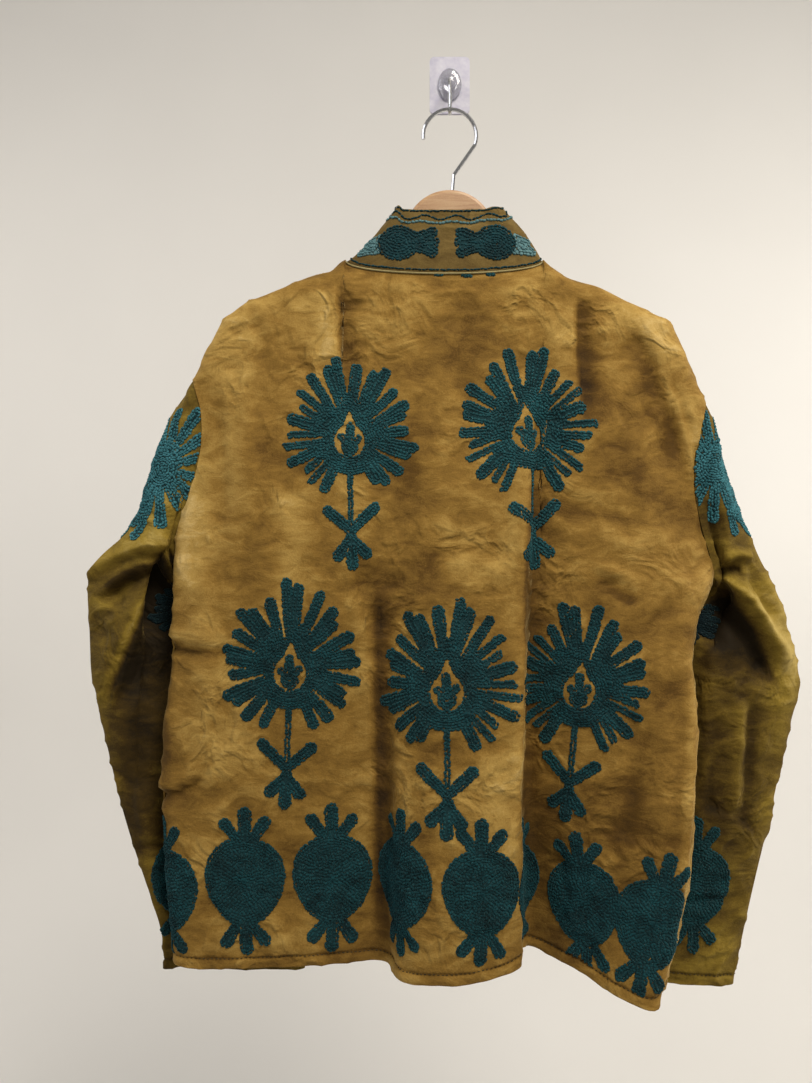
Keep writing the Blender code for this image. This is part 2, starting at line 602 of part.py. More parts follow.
def wall_hook(home):
    """Plate stuck to the wall, a round boss on it and the pin that carries the hanger."""
    mesh = bmesh.new()
    bmesh.ops.create_cube(mesh, size=1.0)
    bmesh.ops.scale(mesh, vec=(PLATE_WIDTH, PLATE_THICKNESS, PLATE_HEIGHT), verts=mesh.verts)
    corners = [e for e in mesh.edges if abs(e.verts[0].co.y - e.verts[1].co.y) > PLATE_THICKNESS / 2]
    bmesh.ops.bevel(mesh, geom=corners, offset=PLATE_CORNER, segments=5, profile=0.5, affect="EDGES")
    data = bpy.data.meshes.new("wall_plate")
    mesh.to_mesh(data)
    mesh.free()
    keep("wall_plate", data, home).location = (0.0, -PLATE_THICKNESS / 2, 0.0)

    profile = bmesh.new()
    points = [profile.verts.new((r * BOSS_WIDTH / 2, 0.0, h * BOSS_DEPTH)) for r, h in BOSS_PROFILE]
    for a, b in zip(points[:-1], points[1:]):
        profile.edges.new((a, b))
    data = bpy.data.meshes.new("wall_boss")
    profile.to_mesh(data)
    profile.free()
    boss = keep("wall_boss", data, home)
    boss.location = (0.0, -PLATE_THICKNESS - SEAM_GAP, 0.0)
    boss.rotation_euler = (math.radians(90), 0.0, 0.0)
    boss.scale = (1.0, BOSS_HEIGHT / BOSS_WIDTH, 1.0)
    turn = boss.modifiers.new("turn", "SCREW")
    turn.steps = turn.render_steps = 28
    turn.use_merge_vertices = True
    turn.merge_threshold = 0.0001

    rest = (RIDGE_Y, HOOK_CENTRE[1] + HOOK_RADIUS)
    cradle = arc(rest, PIN_BEND, 0, -180, 9)
    start = -PLATE_THICKNESS - BOSS_DEPTH - 2 * SEAM_GAP
    stem = [(start, -0.0015), (start - 0.0055, -0.0025), (start - 0.0090, -0.0060),
            (rest[0] + PIN_BEND, -0.0120)]
    tip = [(rest[0] - PIN_BEND - 0.0004, rest[1] + 0.0070), (rest[0] - PIN_BEND - 0.0010, PIN_TIP_Z)]
    wire("wall_pin", [(HOOK_CENTRE[0], y, z) for y, z in [*stem, *cradle, *tip]], PIN_WIRE, home)


def build():
    for old in list(bpy.data.objects):
        bpy.data.objects.remove(old)
    home = bpy.data.collections.new("jacket_on_hanger")
    bpy.context.scene.collection.children.link(home)
    jacket(home)
    hanger_bar(home)
    hanger_hook(home)
    wall_hook(home)


build()
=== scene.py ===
# %% [markdown]
# # A velvet jacket with wool embroidery, hung on a wooden hanger
# The plain solids of this part come first and are never changed. The jacket's cloth is
# then made again as fine sheets on the same form, with creases, and the wool flowers are
# laid on it stitch by stitch. The hanger and the wall hook keep their solids and only get
# better materials.

# %% Load the solid model
import json
import math

import bpy
import numpy as np
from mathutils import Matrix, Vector, noise

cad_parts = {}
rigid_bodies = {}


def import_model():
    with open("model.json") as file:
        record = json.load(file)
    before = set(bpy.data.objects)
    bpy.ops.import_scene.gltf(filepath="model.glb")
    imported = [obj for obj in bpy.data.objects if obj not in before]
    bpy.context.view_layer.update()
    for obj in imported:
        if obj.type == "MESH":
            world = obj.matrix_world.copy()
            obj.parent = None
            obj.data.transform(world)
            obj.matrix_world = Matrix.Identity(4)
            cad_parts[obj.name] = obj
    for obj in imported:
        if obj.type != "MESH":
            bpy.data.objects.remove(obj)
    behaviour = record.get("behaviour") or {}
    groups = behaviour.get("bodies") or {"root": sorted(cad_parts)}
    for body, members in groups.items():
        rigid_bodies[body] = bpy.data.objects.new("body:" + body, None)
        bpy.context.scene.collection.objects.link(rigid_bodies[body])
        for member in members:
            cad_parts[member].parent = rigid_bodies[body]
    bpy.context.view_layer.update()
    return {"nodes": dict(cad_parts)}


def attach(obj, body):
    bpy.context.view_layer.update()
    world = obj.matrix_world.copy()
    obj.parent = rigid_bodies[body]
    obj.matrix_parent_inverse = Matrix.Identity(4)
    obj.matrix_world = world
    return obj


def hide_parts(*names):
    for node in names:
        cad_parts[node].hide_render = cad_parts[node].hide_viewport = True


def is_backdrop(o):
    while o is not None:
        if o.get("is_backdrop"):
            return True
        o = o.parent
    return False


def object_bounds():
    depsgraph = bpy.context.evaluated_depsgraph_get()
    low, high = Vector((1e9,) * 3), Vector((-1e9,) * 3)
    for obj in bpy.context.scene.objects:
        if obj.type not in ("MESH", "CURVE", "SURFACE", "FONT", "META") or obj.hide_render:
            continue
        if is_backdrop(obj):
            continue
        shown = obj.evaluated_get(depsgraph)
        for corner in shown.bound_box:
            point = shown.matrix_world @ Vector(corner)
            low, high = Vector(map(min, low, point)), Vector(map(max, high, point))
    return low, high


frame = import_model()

# %% [markdown]
# ## Camera
# The camera comes first, because the creases and flowers below are placed by where they
# stand in the photograph. A camera that looks straight along +Y keeps the wall's upright
# lines upright. Its height is half way down the jacket, and the lens is a short one, so
# the bottom hem is seen a little from above.

# %% Make the camera and a rule from metres to photo pixels
CAMERA = (-0.0444, -0.83, -0.4637)
LENS, SENSOR = 27.05, 36.0
PHOTO_WIDTH, PHOTO_HEIGHT = 812, 1083

camera = bpy.data.objects.new("camera", bpy.data.cameras.new("camera"))
camera.data.lens = LENS
camera.data.sensor_width = SENSOR
camera.location = CAMERA
camera.rotation_euler = (math.radians(90), 0.0, 0.0)
bpy.context.scene.collection.objects.link(camera)
bpy.context.scene.camera = camera


def photo_px(points):
    """Where points in metres fall in the photograph, in pixels from its top left."""
    size = LENS / SENSOR * PHOTO_HEIGHT / (points[..., 1] - CAMERA[1])
    across = PHOTO_WIDTH / 2 + size * (points[..., 0] - CAMERA[0])
    down = PHOTO_HEIGHT / 2 - size * (points[..., 2] - CAMERA[2])
    return np.stack([across, down], axis=-1)


print("hem at the centre back, px:", photo_px(np.array([0.0, -0.1, -0.857])).round())

# %% [markdown]
# ## The jacket's form
# These sizes are the ones the solids were made from: the line over the shoulders, the
# folds that run down the back and the fronts, and the two folds of each flattened sleeve.
# Repeating them here lets the cloth be made with far more rows and columns than the
# solids have and still lie exactly on them.

# %% Sizes of the body
MM = 0.001
CLOTH = 0.002
SEAM_GAP = 0.0003
ARMHOLE_GAP = 0.0006
NARROW = 0.0015
ROW_TRIM = 0.00015
RIDGE_Y = -0.028
LEFT_RIDGE = [
    (-0.2504, -0.3040), (-0.2373, -0.2797), (-0.2302, -0.2656), (-0.2240, -0.2535),
    (-0.2091, -0.2392), (-0.1778, -0.2224), (-0.1434, -0.2060), (-0.1150, -0.1975),
    (-0.1035, -0.1885),
]
RIGHT_RIDGE = [
    (0.0887, -0.1885), (0.1000, -0.2000), (0.1219, -0.2105), (0.1469, -0.2195),
    (0.1782, -0.2332), (0.1950, -0.2412), (0.2110, -0.2520), (0.2205, -0.2665),
    (0.2330, -0.2985), (0.2450, -0.3250),
]
NECK_LEFT, NECK_RIGHT = LEFT_RIDGE[-1], RIGHT_RIDGE[0]
NECK_BACK_DEPTH, NECK_BACK_DROP = 0.024, 0.0193
NECK_FRONT_DEPTH, NECK_FRONT_DROP = 0.018, 0.076
NECK_BACK_POWERS, NECK_FRONT_POWERS = (0.5, 0.8), (0.3, 1.3)
FRONT_EDGE_LEFT_X, FRONT_EDGE_RIGHT_X = -0.0085, 0.0035
BACK_ROLL, FRONT_ROLL = 0.038, 0.028
ROLL_END, NECK_SLOPE = math.radians(88), math.radians(84)
ROLL_ROWS = [0.0, 0.1, 0.26, 0.46, 0.7, 1.0]
ROLL_POINTS = 40
ARMHOLE_ROWS = [0.20, 0.34, 0.50, 0.67, 0.83, 0.95, 1.0]
ARMPITS = {"left": -0.4835, "right": -0.4990}
SIDE_ROWS = 12
SHOULDER_COLUMNS = 12
NECK_COLUMNS = [0.0, 0.135, 0.27, 0.405, 0.54, 0.67, 0.79, 0.89, 0.96, 0.992, 1.0]
COLLAR_ROWS = 5
ARMHOLE_REACH = 0.050
LEVELS = {"chest": -0.48, "waist": -0.62, "hip": -0.75, "hem": -0.865}
BACK_LINES = [
    # name, chest x y, waist x y, hip x y, hem x y, hem z
    ("left seam", -0.265, -0.042, -0.276, -0.045, -0.277, -0.045, -0.268, -0.045, -0.864),
    ("left roll", -0.260, -0.054, -0.271, -0.058, -0.272, -0.058, -0.262, -0.058, -0.865),
    ("left flat", -0.205, -0.066, -0.205, -0.068, -0.200, -0.065, -0.197, -0.064, -0.865),
    ("left middle", -0.120, -0.066, -0.117, -0.066, -0.112, -0.063, -0.110, -0.062, -0.862),
    ("valley", -0.063, -0.064, -0.064, -0.062, -0.064, -0.059, -0.064, -0.058, -0.862),
    ("flank", -0.045, -0.067, -0.050, -0.073, -0.050, -0.084, -0.049, -0.087, -0.863),
    ("bulge left", -0.022, -0.071, -0.026, -0.088, -0.026, -0.101, -0.025, -0.104, -0.859),
    ("bulge right", 0.022, -0.075, 0.018, -0.096, 0.019, -0.107, 0.020, -0.109, -0.854),
    ("ridge", 0.064, -0.077, 0.058, -0.095, 0.058, -0.099, 0.058, -0.099, -0.846),
    ("under ridge", 0.0705, -0.069, 0.0595, -0.079, 0.061, -0.078, 0.060, -0.075, -0.846),
    ("tuck", 0.079, -0.063, 0.067, -0.058, 0.073, -0.050, 0.074, -0.045, -0.854),
    ("right middle", 0.120, -0.068, 0.118, -0.072, 0.116, -0.072, 0.112, -0.075, -0.860),
    ("right flat", 0.185, -0.070, 0.190, -0.088, 0.183, -0.100, 0.150, -0.104, -0.872),
    ("right roll", 0.228, -0.062, 0.222, -0.090, 0.208, -0.103, 0.175, -0.112, -0.876),
    ("right seam", 0.240, -0.045, 0.228, -0.075, 0.214, -0.090, 0.184, -0.098, -0.870),
]
LEFT_FRONT_LINES = [
    ("roll", -0.262, -0.033, -0.272, -0.037, -0.273, -0.038, -0.264, -0.038, -0.865),
    ("side", -0.230, -0.029, -0.235, -0.038, -0.240, -0.039, -0.232, -0.039, -0.865),
    ("flat", -0.170, -0.024, -0.175, -0.034, -0.175, -0.040, -0.170, -0.041, -0.863),
    ("fold", -0.110, -0.020, -0.110, -0.026, -0.110, -0.033, -0.110, -0.036, -0.861),
    ("inner", -0.055, -0.018, -0.055, -0.024, -0.055, -0.022, -0.056, -0.020, -0.860),
    ("edge", -0.0085, -0.020, -0.010, -0.026, -0.012, -0.030, -0.016, -0.034, -0.858),
]
RIGHT_FRONT_LINES = [
    ("roll", 0.243, -0.036, 0.234, -0.060, 0.222, -0.074, 0.194, -0.082, -0.872),
    ("side", 0.225, -0.029, 0.224, -0.044, 0.212, -0.052, 0.190, -0.056, -0.870),
    ("flat", 0.170, -0.024, 0.185, -0.037, 0.178, -0.040, 0.160, -0.041, -0.866),
    ("fold", 0.115, -0.020, 0.120, -0.030, 0.120, -0.037, 0.110, -0.040, -0.862),
    ("inner", 0.060, -0.018, 0.060, -0.024, 0.060, -0.022, 0.056, -0.024, -0.860),
    ("edge", 0.0035, -0.020, 0.004, -0.026, 0.006, -0.028, 0.010, -0.030, -0.858),
]
# The armholes and the sides of the body: z, x.
LEFT_EDGE = [
    (-0.3045, -0.2504), (-0.3450, -0.2405), (-0.3650, -0.2405), (-0.4000, -0.2465),
    (-0.4250, -0.2538), (-0.4550, -0.2644), (-0.4835, -0.2673), (-0.5200, -0.2696),
    (-0.5835, -0.2706), (-0.6240, -0.2754), (-0.6930, -0.2802), (-0.7510, -0.2763),
    (-0.8230, -0.2701), (-0.8660, -0.2672),
]
RIGHT_EDGE = [
    (-0.3250, 0.2450), (-0.3600, 0.2365), (-0.3900, 0.2325), (-0.4200, 0.2330),
    (-0.4500, 0.2390), (-0.4750, 0.2465), (-0.4970, 0.2515), (-0.5150, 0.2455),
    (-0.5380, 0.2320), (-0.5650, 0.2240), (-0.6440, 0.2225), (-0.7000, 0.2180),
    (-0.7325, 0.2150), (-0.8000, 0.2040), (-0.8420, 0.1930), (-0.8700, 0.1840),
]
EDGE_REACH = 0.035

# %% Sizes of the sleeves and the collar
LEFT_SLEEVE = [
    # outer x z, inner x z
    (-0.2705, -0.3344, -0.2755, -0.4985),
    (-0.2882, -0.3787, -0.2690, -0.5100),
    (-0.3049, -0.4347, -0.2600, -0.5300),
    (-0.3275, -0.4701, -0.2480, -0.5600),
    (-0.3545, -0.5035, -0.2348, -0.6068),
    (-0.3531, -0.5399, -0.2179, -0.6467),
    (-0.3455, -0.6134, -0.1979, -0.7020),
    (-0.3320, -0.6850, -0.1840, -0.7450),
    (-0.3157, -0.7473, -0.1700, -0.7892),
    (-0.2944, -0.8122, -0.1581, -0.8261),
    (-0.2843, -0.8530, -0.1501, -0.8680),
    (-0.2825, -0.8840, -0.1461, -0.8880),
]
RIGHT_SLEEVE = [
    (0.2640, -0.3836, 0.2605, -0.5125),
    (0.2834, -0.4435, 0.2440, -0.5330),
    (0.2997, -0.4779, 0.2250, -0.5620),
    (0.3164, -0.5133, 0.2060, -0.6000),
    (0.3321, -0.5605, 0.1950, -0.6380),
    (0.3390, -0.5920, 0.1889, -0.6716),
    (0.3321, -0.6391, 0.1789, -0.7065),
    (0.3205, -0.6900, 0.1660, -0.7593),
    (0.3111, -0.7353, 0.1560, -0.7992),
    (0.2975, -0.7925, 0.1490, -0.8291),
    (0.2858, -0.8457, 0.1430, -0.8590),
    (0.2758, -0.8955, 0.1391, -0.8830),
]
SLEEVE_RINGS = 18
# How far the last three steps of a sleeve go, down to the cuff.
CUFF_STEPS = 0.0195
SLEEVE_START = 0.010
# Middle and half of a sleeve's depth, where it hangs beside the body and behind its edge.
BESIDE_BODY, BEHIND_BODY = (-0.0315, 0.0225), (-0.0190, 0.0105)
BESIDE_START, BESIDE_BLEND = 0.002, 0.03
UNDERARM_Z, UNDERARM_BLEND = -0.478, 0.030
# Low on the armhole the sleeve leaves it outward and down instead of straight on.
UNDER_OUT, UNDER_DOWN, UNDER_GAIN, UNDER_SHIFT = 0.8, 0.6, 1.6, 0.6
CUFF_FLATNESS, RING_POWER = 0.55, 0.8
COLLAR_BACK, COLLAR_LEFT, COLLAR_RIGHT, COLLAR_FRONT = 0.064, 0.072, 0.067, 0.060
COLLAR_LEAN_LEFT, COLLAR_LEAN_RIGHT, COLLAR_LEAN_BACK = 0.70, 0.60, 0.11
COLLAR_BOW_LEFT, COLLAR_BOW_RIGHT = 0.82, 1.3
COLLAR_TURN = 0.42

# The cloth has this many steps for each one of the solids, down and across. Near its hem
# it has closer rows, at these distances from the edge, in place of its last three.
FINER_DOWN, FINER_ACROSS = 5, 4
HEM_ROWS = [0.0130, 0.0112, 0.0102, 0.0094, 0.0086, 0.0076, 0.0056, 0.0030, 0.0010, 0.0]
HEM_REPLACED = 3

# %% [markdown]
# ## From sizes to points
# A smooth curve through a few values turns the short tables above into surfaces. The body
# is read as level sections, so a point is found by its share of a panel's width and its
# height. That pair also says how far apart two points are along the cloth, which is what
# an embroiderer would measure.

# %% Small helpers for curves
# A place in a grid stays this much short of the number of rows, inside the last cell.
LAST_CELL = 1.001


def smooth01(value):
    """0 below 0, 1 above 1 and a soft step between."""
    value = np.clip(value, 0.0, 1.0)
    return value * value * (3.0 - 2.0 * value)


def mix(a, b, share):
    return a + (b - a) * share


def finer(rows, steps):
    """More rows, evenly spaced on straight lines between the given ones."""
    rows = np.asarray(rows, float)
    at = np.linspace(0, len(rows) - 1, (len(rows) - 1) * steps + 1)
    i = np.minimum(at.astype(int), len(rows) - 2)
    t = (at - i).reshape((-1,) + (1,) * (rows.ndim - 1))
    return rows[i] * (1 - t) + rows[i + 1] * t


def curve_through(positions, values, at):
    """Read a smooth curve through values (rows) at positions, held level past its ends."""
    positions = np.asarray(positions, float)
    values = np.asarray(values, float)
    if positions[0] > positions[-1]:
        positions, values = positions[::-1], values[::-1]
    slopes = np.gradient(values, positions, axis=0)
    at = np.clip(np.atleast_1d(at).astype(float), positions[0], positions[-1])
    i = np.clip(np.searchsorted(positions, at) - 1, 0, len(positions) - 2)
    span = positions[i + 1] - positions[i]
    t = (at - positions[i]) / span
    shape = (-1,) + (1,) * (values.ndim - 1)
    t, span = t.reshape(shape), span.reshape(shape)
    return (
        values[i] * (1 + 2 * t) * (1 - t) ** 2
        + slopes[i] * span * t * (1 - t) ** 2
        + values[i + 1] * t * t * (3 - 2 * t)
        + slopes[i + 1] * span * t * t * (t - 1)
    )


def run_along(points):
    """Distance along a row of points, measured from the first."""
    return np.concatenate([[0.0], np.cumsum(np.linalg.norm(np.diff(points, axis=0), axis=1))])


def unit(vectors, least=0.0):
    """The vectors made one long; least keeps a vector of no length from dividing by 0."""
    return vectors / (np.linalg.norm(vectors, axis=-1)[..., None] + least)


def edge_x(table, z):
    heights, places = zip(*table)
    return float(curve_through(heights, places, z)[0])


# %% Sections of the body
class Body:
    """The hanging body of the jacket, as sections that run from front edge to front edge.

    A section is made every STEP metres, with FINE points from one line to the next, from
    ABOVE the chest to BELOW the hem.
    """

    STEP = 0.004
    FINE = 24
    ABOVE, BELOW = 0.080, 0.01

    def __init__(self):
        lines = LEFT_FRONT_LINES[::-1] + BACK_LINES + RIGHT_FRONT_LINES
        table = np.array([line[1:9] for line in lines]).reshape(len(lines), 4, 2)
        self.left = len(LEFT_FRONT_LINES)
        self.right = self.left + len(BACK_LINES) - 1
        self.hem_z = np.array([line[9] for line in lines])
        low = min(self.hem_z) - self.BELOW
        levels = [LEVELS["chest"] + self.ABOVE, *LEVELS.values()]
        table = np.concatenate([table[:, :1], table], axis=1)
        self.heights = np.arange(levels[0], low, -self.STEP)
        guides = curve_through(levels, table.transpose(1, 0, 2), self.heights)
        self.sections = [self.trace(points, z) for points, z in zip(guides, self.heights)]

    def trace(self, points, z):
        """One section as a fine polyline, with its arc length measured along it."""
        spans = np.sqrt(np.linalg.norm(np.diff(points, axis=0), axis=1))
        knots = np.concatenate([[0.0], np.cumsum(spans)])
        at = np.concatenate([
            np.linspace(a, b, self.FINE, endpoint=False) for a, b in zip(knots[:-1], knots[1:])
        ] + [[knots[-1]]])
        line = curve_through(knots, points, at)
        arc = run_along(line)
        for index, edge in ((self.left, LEFT_EDGE), (self.right, RIGHT_EDGE)):
            k = index * self.FINE
            shift = edge_x(edge, z) - line[k, 0]
            line[:, 0] += shift * np.exp(-((arc - arc[k]) / EDGE_REACH) ** 2)
        return line, run_along(line)

    def stretch(self, side):
        """The first and last guide of a panel, in the direction of its columns."""
        last = len(LEFT_FRONT_LINES) + len(BACK_LINES) + len(RIGHT_FRONT_LINES) - 1
        return {"back": (self.left, self.right), "left": (self.left, 0),
                "right": (self.right, last)}[side]

    def read(self, side, shares, z):
        """x and y of a panel at the given shares of its arc length, one height for each."""
        first, last = self.stretch(side)
        rows = []
        for line, arc in self.sections:
            a, b = arc[first * self.FINE], arc[last * self.FINE]
            at = a + (b - a) * shares
            rows.append(np.stack([np.interp(at, arc, line[:, k]) for k in (0, 1)], axis=-1))
        rows = np.array(rows)
        place = np.clip((self.heights[0] - z) / self.STEP, 0, len(rows) - LAST_CELL)
        i = place.astype(int)
        t = (place - i)[..., None]
        columns = np.arange(len(shares))
        return rows[i, columns] * (1 - t) + rows[i + 1, columns] * t

    def hem(self, side, shares):
        """Height of the hem at the given shares of a panel's width."""
        first, last = self.stretch(side)
        line, arc = self.sections[-1]
        knots = arc[np.arange(len(self.hem_z)) * self.FINE]
        a, b = knots[first], knots[last]
        return curve_through(knots, self.hem_z, a + (b - a) * shares)


body = Body()
print("sections through the body:", len(body.sections))

# %% Points of a panel
def panel_columns(side):
    """Shares of a panel's width where its columns stand, and x, y, z of its top edge."""
    left_x, right_x = LEFT_RIDGE[0][0], RIGHT_RIDGE[-1][0]
    half = np.array(NECK_COLUMNS)
    start, stop, neck_a, neck_b = {
        "back": (left_x, right_x, NECK_LEFT[0], NECK_RIGHT[0]),
        "left": (left_x, FRONT_EDGE_LEFT_X, NECK_LEFT[0], FRONT_EDGE_LEFT_X),
        "right": (right_x, FRONT_EDGE_RIGHT_X, NECK_RIGHT[0], FRONT_EDGE_RIGHT_X),
    }[side]
    if side == "back":
        neck = mix(neck_a, neck_b, (np.concatenate([-half[:0:-1], half]) + 1) / 2)
        far = mix(neck_b, stop, np.linspace(0, 1, SHOULDER_COLUMNS + 1))[1:]
    else:
        neck = mix(neck_a, neck_b, 1 - half[::-1])
        far = np.zeros(0)
    near = mix(start, neck_a, np.linspace(0, 1, SHOULDER_COLUMNS + 1))[:-1]
    x = np.concatenate([near, neck, far])
    toward = 1 if stop > start else -1
    x = np.insert(x, 1, start + toward * NARROW)
    x[0] = start + toward * ROW_TRIM
    if side == "back":
        x = np.insert(x, len(x) - 1, stop - NARROW)
        x[-1] = stop - ROW_TRIM
    x = finer(x, FINER_ACROSS)
    return (x - start) / (stop - start), top_edge(side, x)


def top_edge(side, x):
    """The panel's upper edge at x: y, z and how far the cloth has turned down already."""
    ridge = curve_through(*zip(*(LEFT_RIDGE + RIGHT_RIDGE)), x)
    y = np.full_like(x, RIDGE_Y)
    turned = np.zeros_like(x)
    (left_x, left_z), (right_x, right_z) = NECK_LEFT, NECK_RIGHT
    inside = (x > left_x) & (x < right_x)
    if side == "back":
        half, middle = (right_x - left_x) / 2, (right_x + left_x) / 2
        base = np.interp(x, [left_x, right_x], [left_z, right_z])
        drop, depth, powers = NECK_BACK_DROP, -NECK_BACK_DEPTH, NECK_BACK_POWERS
    else:
        edge, corner = {
            "left": (FRONT_EDGE_LEFT_X, NECK_LEFT), "right": (FRONT_EDGE_RIGHT_X, NECK_RIGHT),
        }[side]
        half, middle, base = abs(edge - corner[0]), edge, corner[1]
        drop, depth, powers = NECK_FRONT_DROP, NECK_FRONT_DEPTH, NECK_FRONT_POWERS
    round_part = np.sqrt(np.clip(1 - ((x - middle) / half) ** 2, 0, 1))
    ridge[inside] = (base - drop * round_part ** powers[1])[inside]
    y[inside] += (depth * round_part ** powers[0])[inside]
    turned[inside] = round_part[inside] ** powers[0]
    return np.stack([x, y, ridge, turned], axis=-1)


def edge_pull(side, x, z):
    """Draws a panel's side to the armhole and body line, fading inward."""
    pull = np.zeros_like(x)
    ends = {"back": ((0, LEFT_EDGE), (-1, RIGHT_EDGE)), "left": ((0, LEFT_EDGE),),
            "right": ((0, RIGHT_EDGE),)}[side]
    for index, table in ends:
        away = np.abs(x - x[index])
        start = table[0][1]
        trim = ROW_TRIM * np.sign(-start)
        pull += (edge_x(table, z[index]) + trim - x[index]) * np.exp(-((away / EDGE_REACH) ** 2))
    return pull


def panel_points(side):
    """All points of a panel's outer surface, rows from the top edge down to the hem."""
    shares, top = panel_columns(side)
    top_z = top[:, 2]
    hem = body.hem(side, shares)
    sign, roll = (-1, BACK_ROLL) if side == "back" else (1, FRONT_ROLL)
    path = np.linspace(0, roll, ROLL_POINTS)
    slope = mix(top[:, 3:] * NECK_SLOPE, ROLL_END, smooth01(path / roll)[None, :])
    out = np.cumsum(np.cos(slope), axis=1) * path[1]
    down = np.cumsum(np.sin(slope), axis=1) * path[1]
    out, down = out - out[:, :1], down - down[:, :1]
    heights, depths = [], []
    for share in finer(ROLL_ROWS, FINER_DOWN):
        at = max(share * roll, ROW_TRIM)
        heights.append(top_z - [np.interp(at, path, d) for d in down])
        depth = top[:, 1] + sign * np.array([np.interp(at, path, o) for o in out])
        end = top[:, 1] + sign * out[:, -1]
        depths.append(depth + (end[0] - end) * share)
    across = shares if side == "back" else np.full_like(shares, side == "right")
    armpit = mix(ARMPITS["left"], ARMPITS["right"], across)
    below = [heights[-1]] + [mix(top_z, armpit, share) for share in ARMHOLE_ROWS]
    below += [mix(armpit, hem, share) for share in np.linspace(0, 1, SIDE_ROWS + 1)[1:]]
    heights += list(finer(below, FINER_DOWN)[1:-HEM_REPLACED])
    heights += [hem + rise for rise in HEM_ROWS]
    depths += [depths[-1]] * (len(heights) - len(depths))
    roll_end = top_z - down[:, -1]
    away = np.abs(top[:, 0] - top[0, 0])
    if side == "back":
        away = np.minimum(away, np.abs(top[:, 0] - top[-1, 0]))
    near_arm = np.exp(-(away / ARMHOLE_REACH) ** 2)
    grid = []
    for z, y in zip(heights, depths):
        section = body.read(side, shares, z)
        sunk = np.clip((roll_end - z) / (roll_end - armpit), 0, 1)
        into = mix(smooth01(sunk), 1 - np.sqrt(1 - sunk ** 2), near_arm)
        spread = smooth01((top_z - z) / (top_z - armpit))
        x = mix(top[:, 0], section[:, 0], spread)
        x += edge_pull(side, x, z)
        grid.append(np.stack([x, mix(y, section[:, 1], into), z], axis=-1))
    return np.array(grid)


forms = {name: panel_points(name) for name in ("back", "left", "right")}
print("points in the back:", forms["back"].shape[:2])

# %% Points of a sleeve
def sleeve_points(table, edge_table, back_edge, back_next, front_edge, front_next):
    """Rings of a sleeve from the armhole to the cuff; each starts at the outer fold."""
    loop = np.concatenate([back_edge, front_edge[-2:0:-1]])
    inside = np.concatenate([back_next, front_next[-2:0:-1]])
    count = len(loop)
    outward = np.sign(table[0][0])
    fallen = UNDER_GAIN * (loop[0, 2] - loop[:, 2]) / (loop[0, 2] - loop[:, 2].min())
    low = smooth01(fallen - UNDER_SHIFT)[:, None]
    under = np.array([UNDER_OUT * outward, 0.0, -UNDER_DOWN])
    tangent = mix(unit(loop - inside), under, low)
    along = unit(np.roll(loop, -1, axis=0) - np.roll(loop, 1, axis=0))
    tangent = unit(tangent - along * (tangent * along).sum(axis=1)[:, None])
    rings = [loop + tangent * d for d in (ARMHOLE_GAP, ARMHOLE_GAP + NARROW, SLEEVE_START)]
    angle = 2 * math.pi * np.arange(count) / count
    steps = (SLEEVE_RINGS - 1) * FINER_DOWN + 1
    rows = curve_through(np.arange(len(table)), table, np.linspace(0, len(table) - 1, steps))
    tube = []
    for step, (ox, oz, ix, iz) in enumerate(rows):
        flat = mix(1.0, CUFF_FLATNESS, (step / (len(rows) - 1)) ** 2)
        share = (1 + np.cos(angle)) / 2
        x, z = mix(ix, ox, share), mix(iz, oz, share)
        past = outward * (x - np.array([edge_x(edge_table, height) for height in z]))
        beside = smooth01((past + BESIDE_START) / BESIDE_BLEND)
        beside = np.maximum(beside, 1 - smooth01((UNDERARM_Z - z) / UNDERARM_BLEND))
        middle = mix(BEHIND_BODY[0], BESIDE_BODY[0], beside)
        half = flat * mix(BEHIND_BODY[1], BESIDE_BODY[1], beside)
        y = middle - half * np.sign(np.sin(angle)) * np.abs(np.sin(angle)) ** RING_POWER
        tube.append(np.stack([x, y, z], axis=-1))
    cuff = [mix(tube[-1], tube[-1 - HEM_REPLACED], d / CUFF_STEPS) for d in HEM_ROWS]
    return np.concatenate([finer(rings + tube[:1], FINER_DOWN), tube[1:-HEM_REPLACED], cuff])


arm_rows = (len(ROLL_ROWS) - 1 + len(ARMHOLE_ROWS)) * FINER_DOWN + 1
for name, table, edge, column, step, front in (
    ("sleeve_left", LEFT_SLEEVE, LEFT_EDGE, 0, 1, "left"),
    ("sleeve_right", RIGHT_SLEEVE, RIGHT_EDGE, -1, -1, "right"),
):
    forms[name] = sleeve_points(
        table, edge, forms["back"][:arm_rows, column], forms["back"][:arm_rows, column + step],
        forms[front][:arm_rows, 0], forms[front][:arm_rows, 1],
    )
print("points in a sleeve:", forms["sleeve_left"].shape[:2])

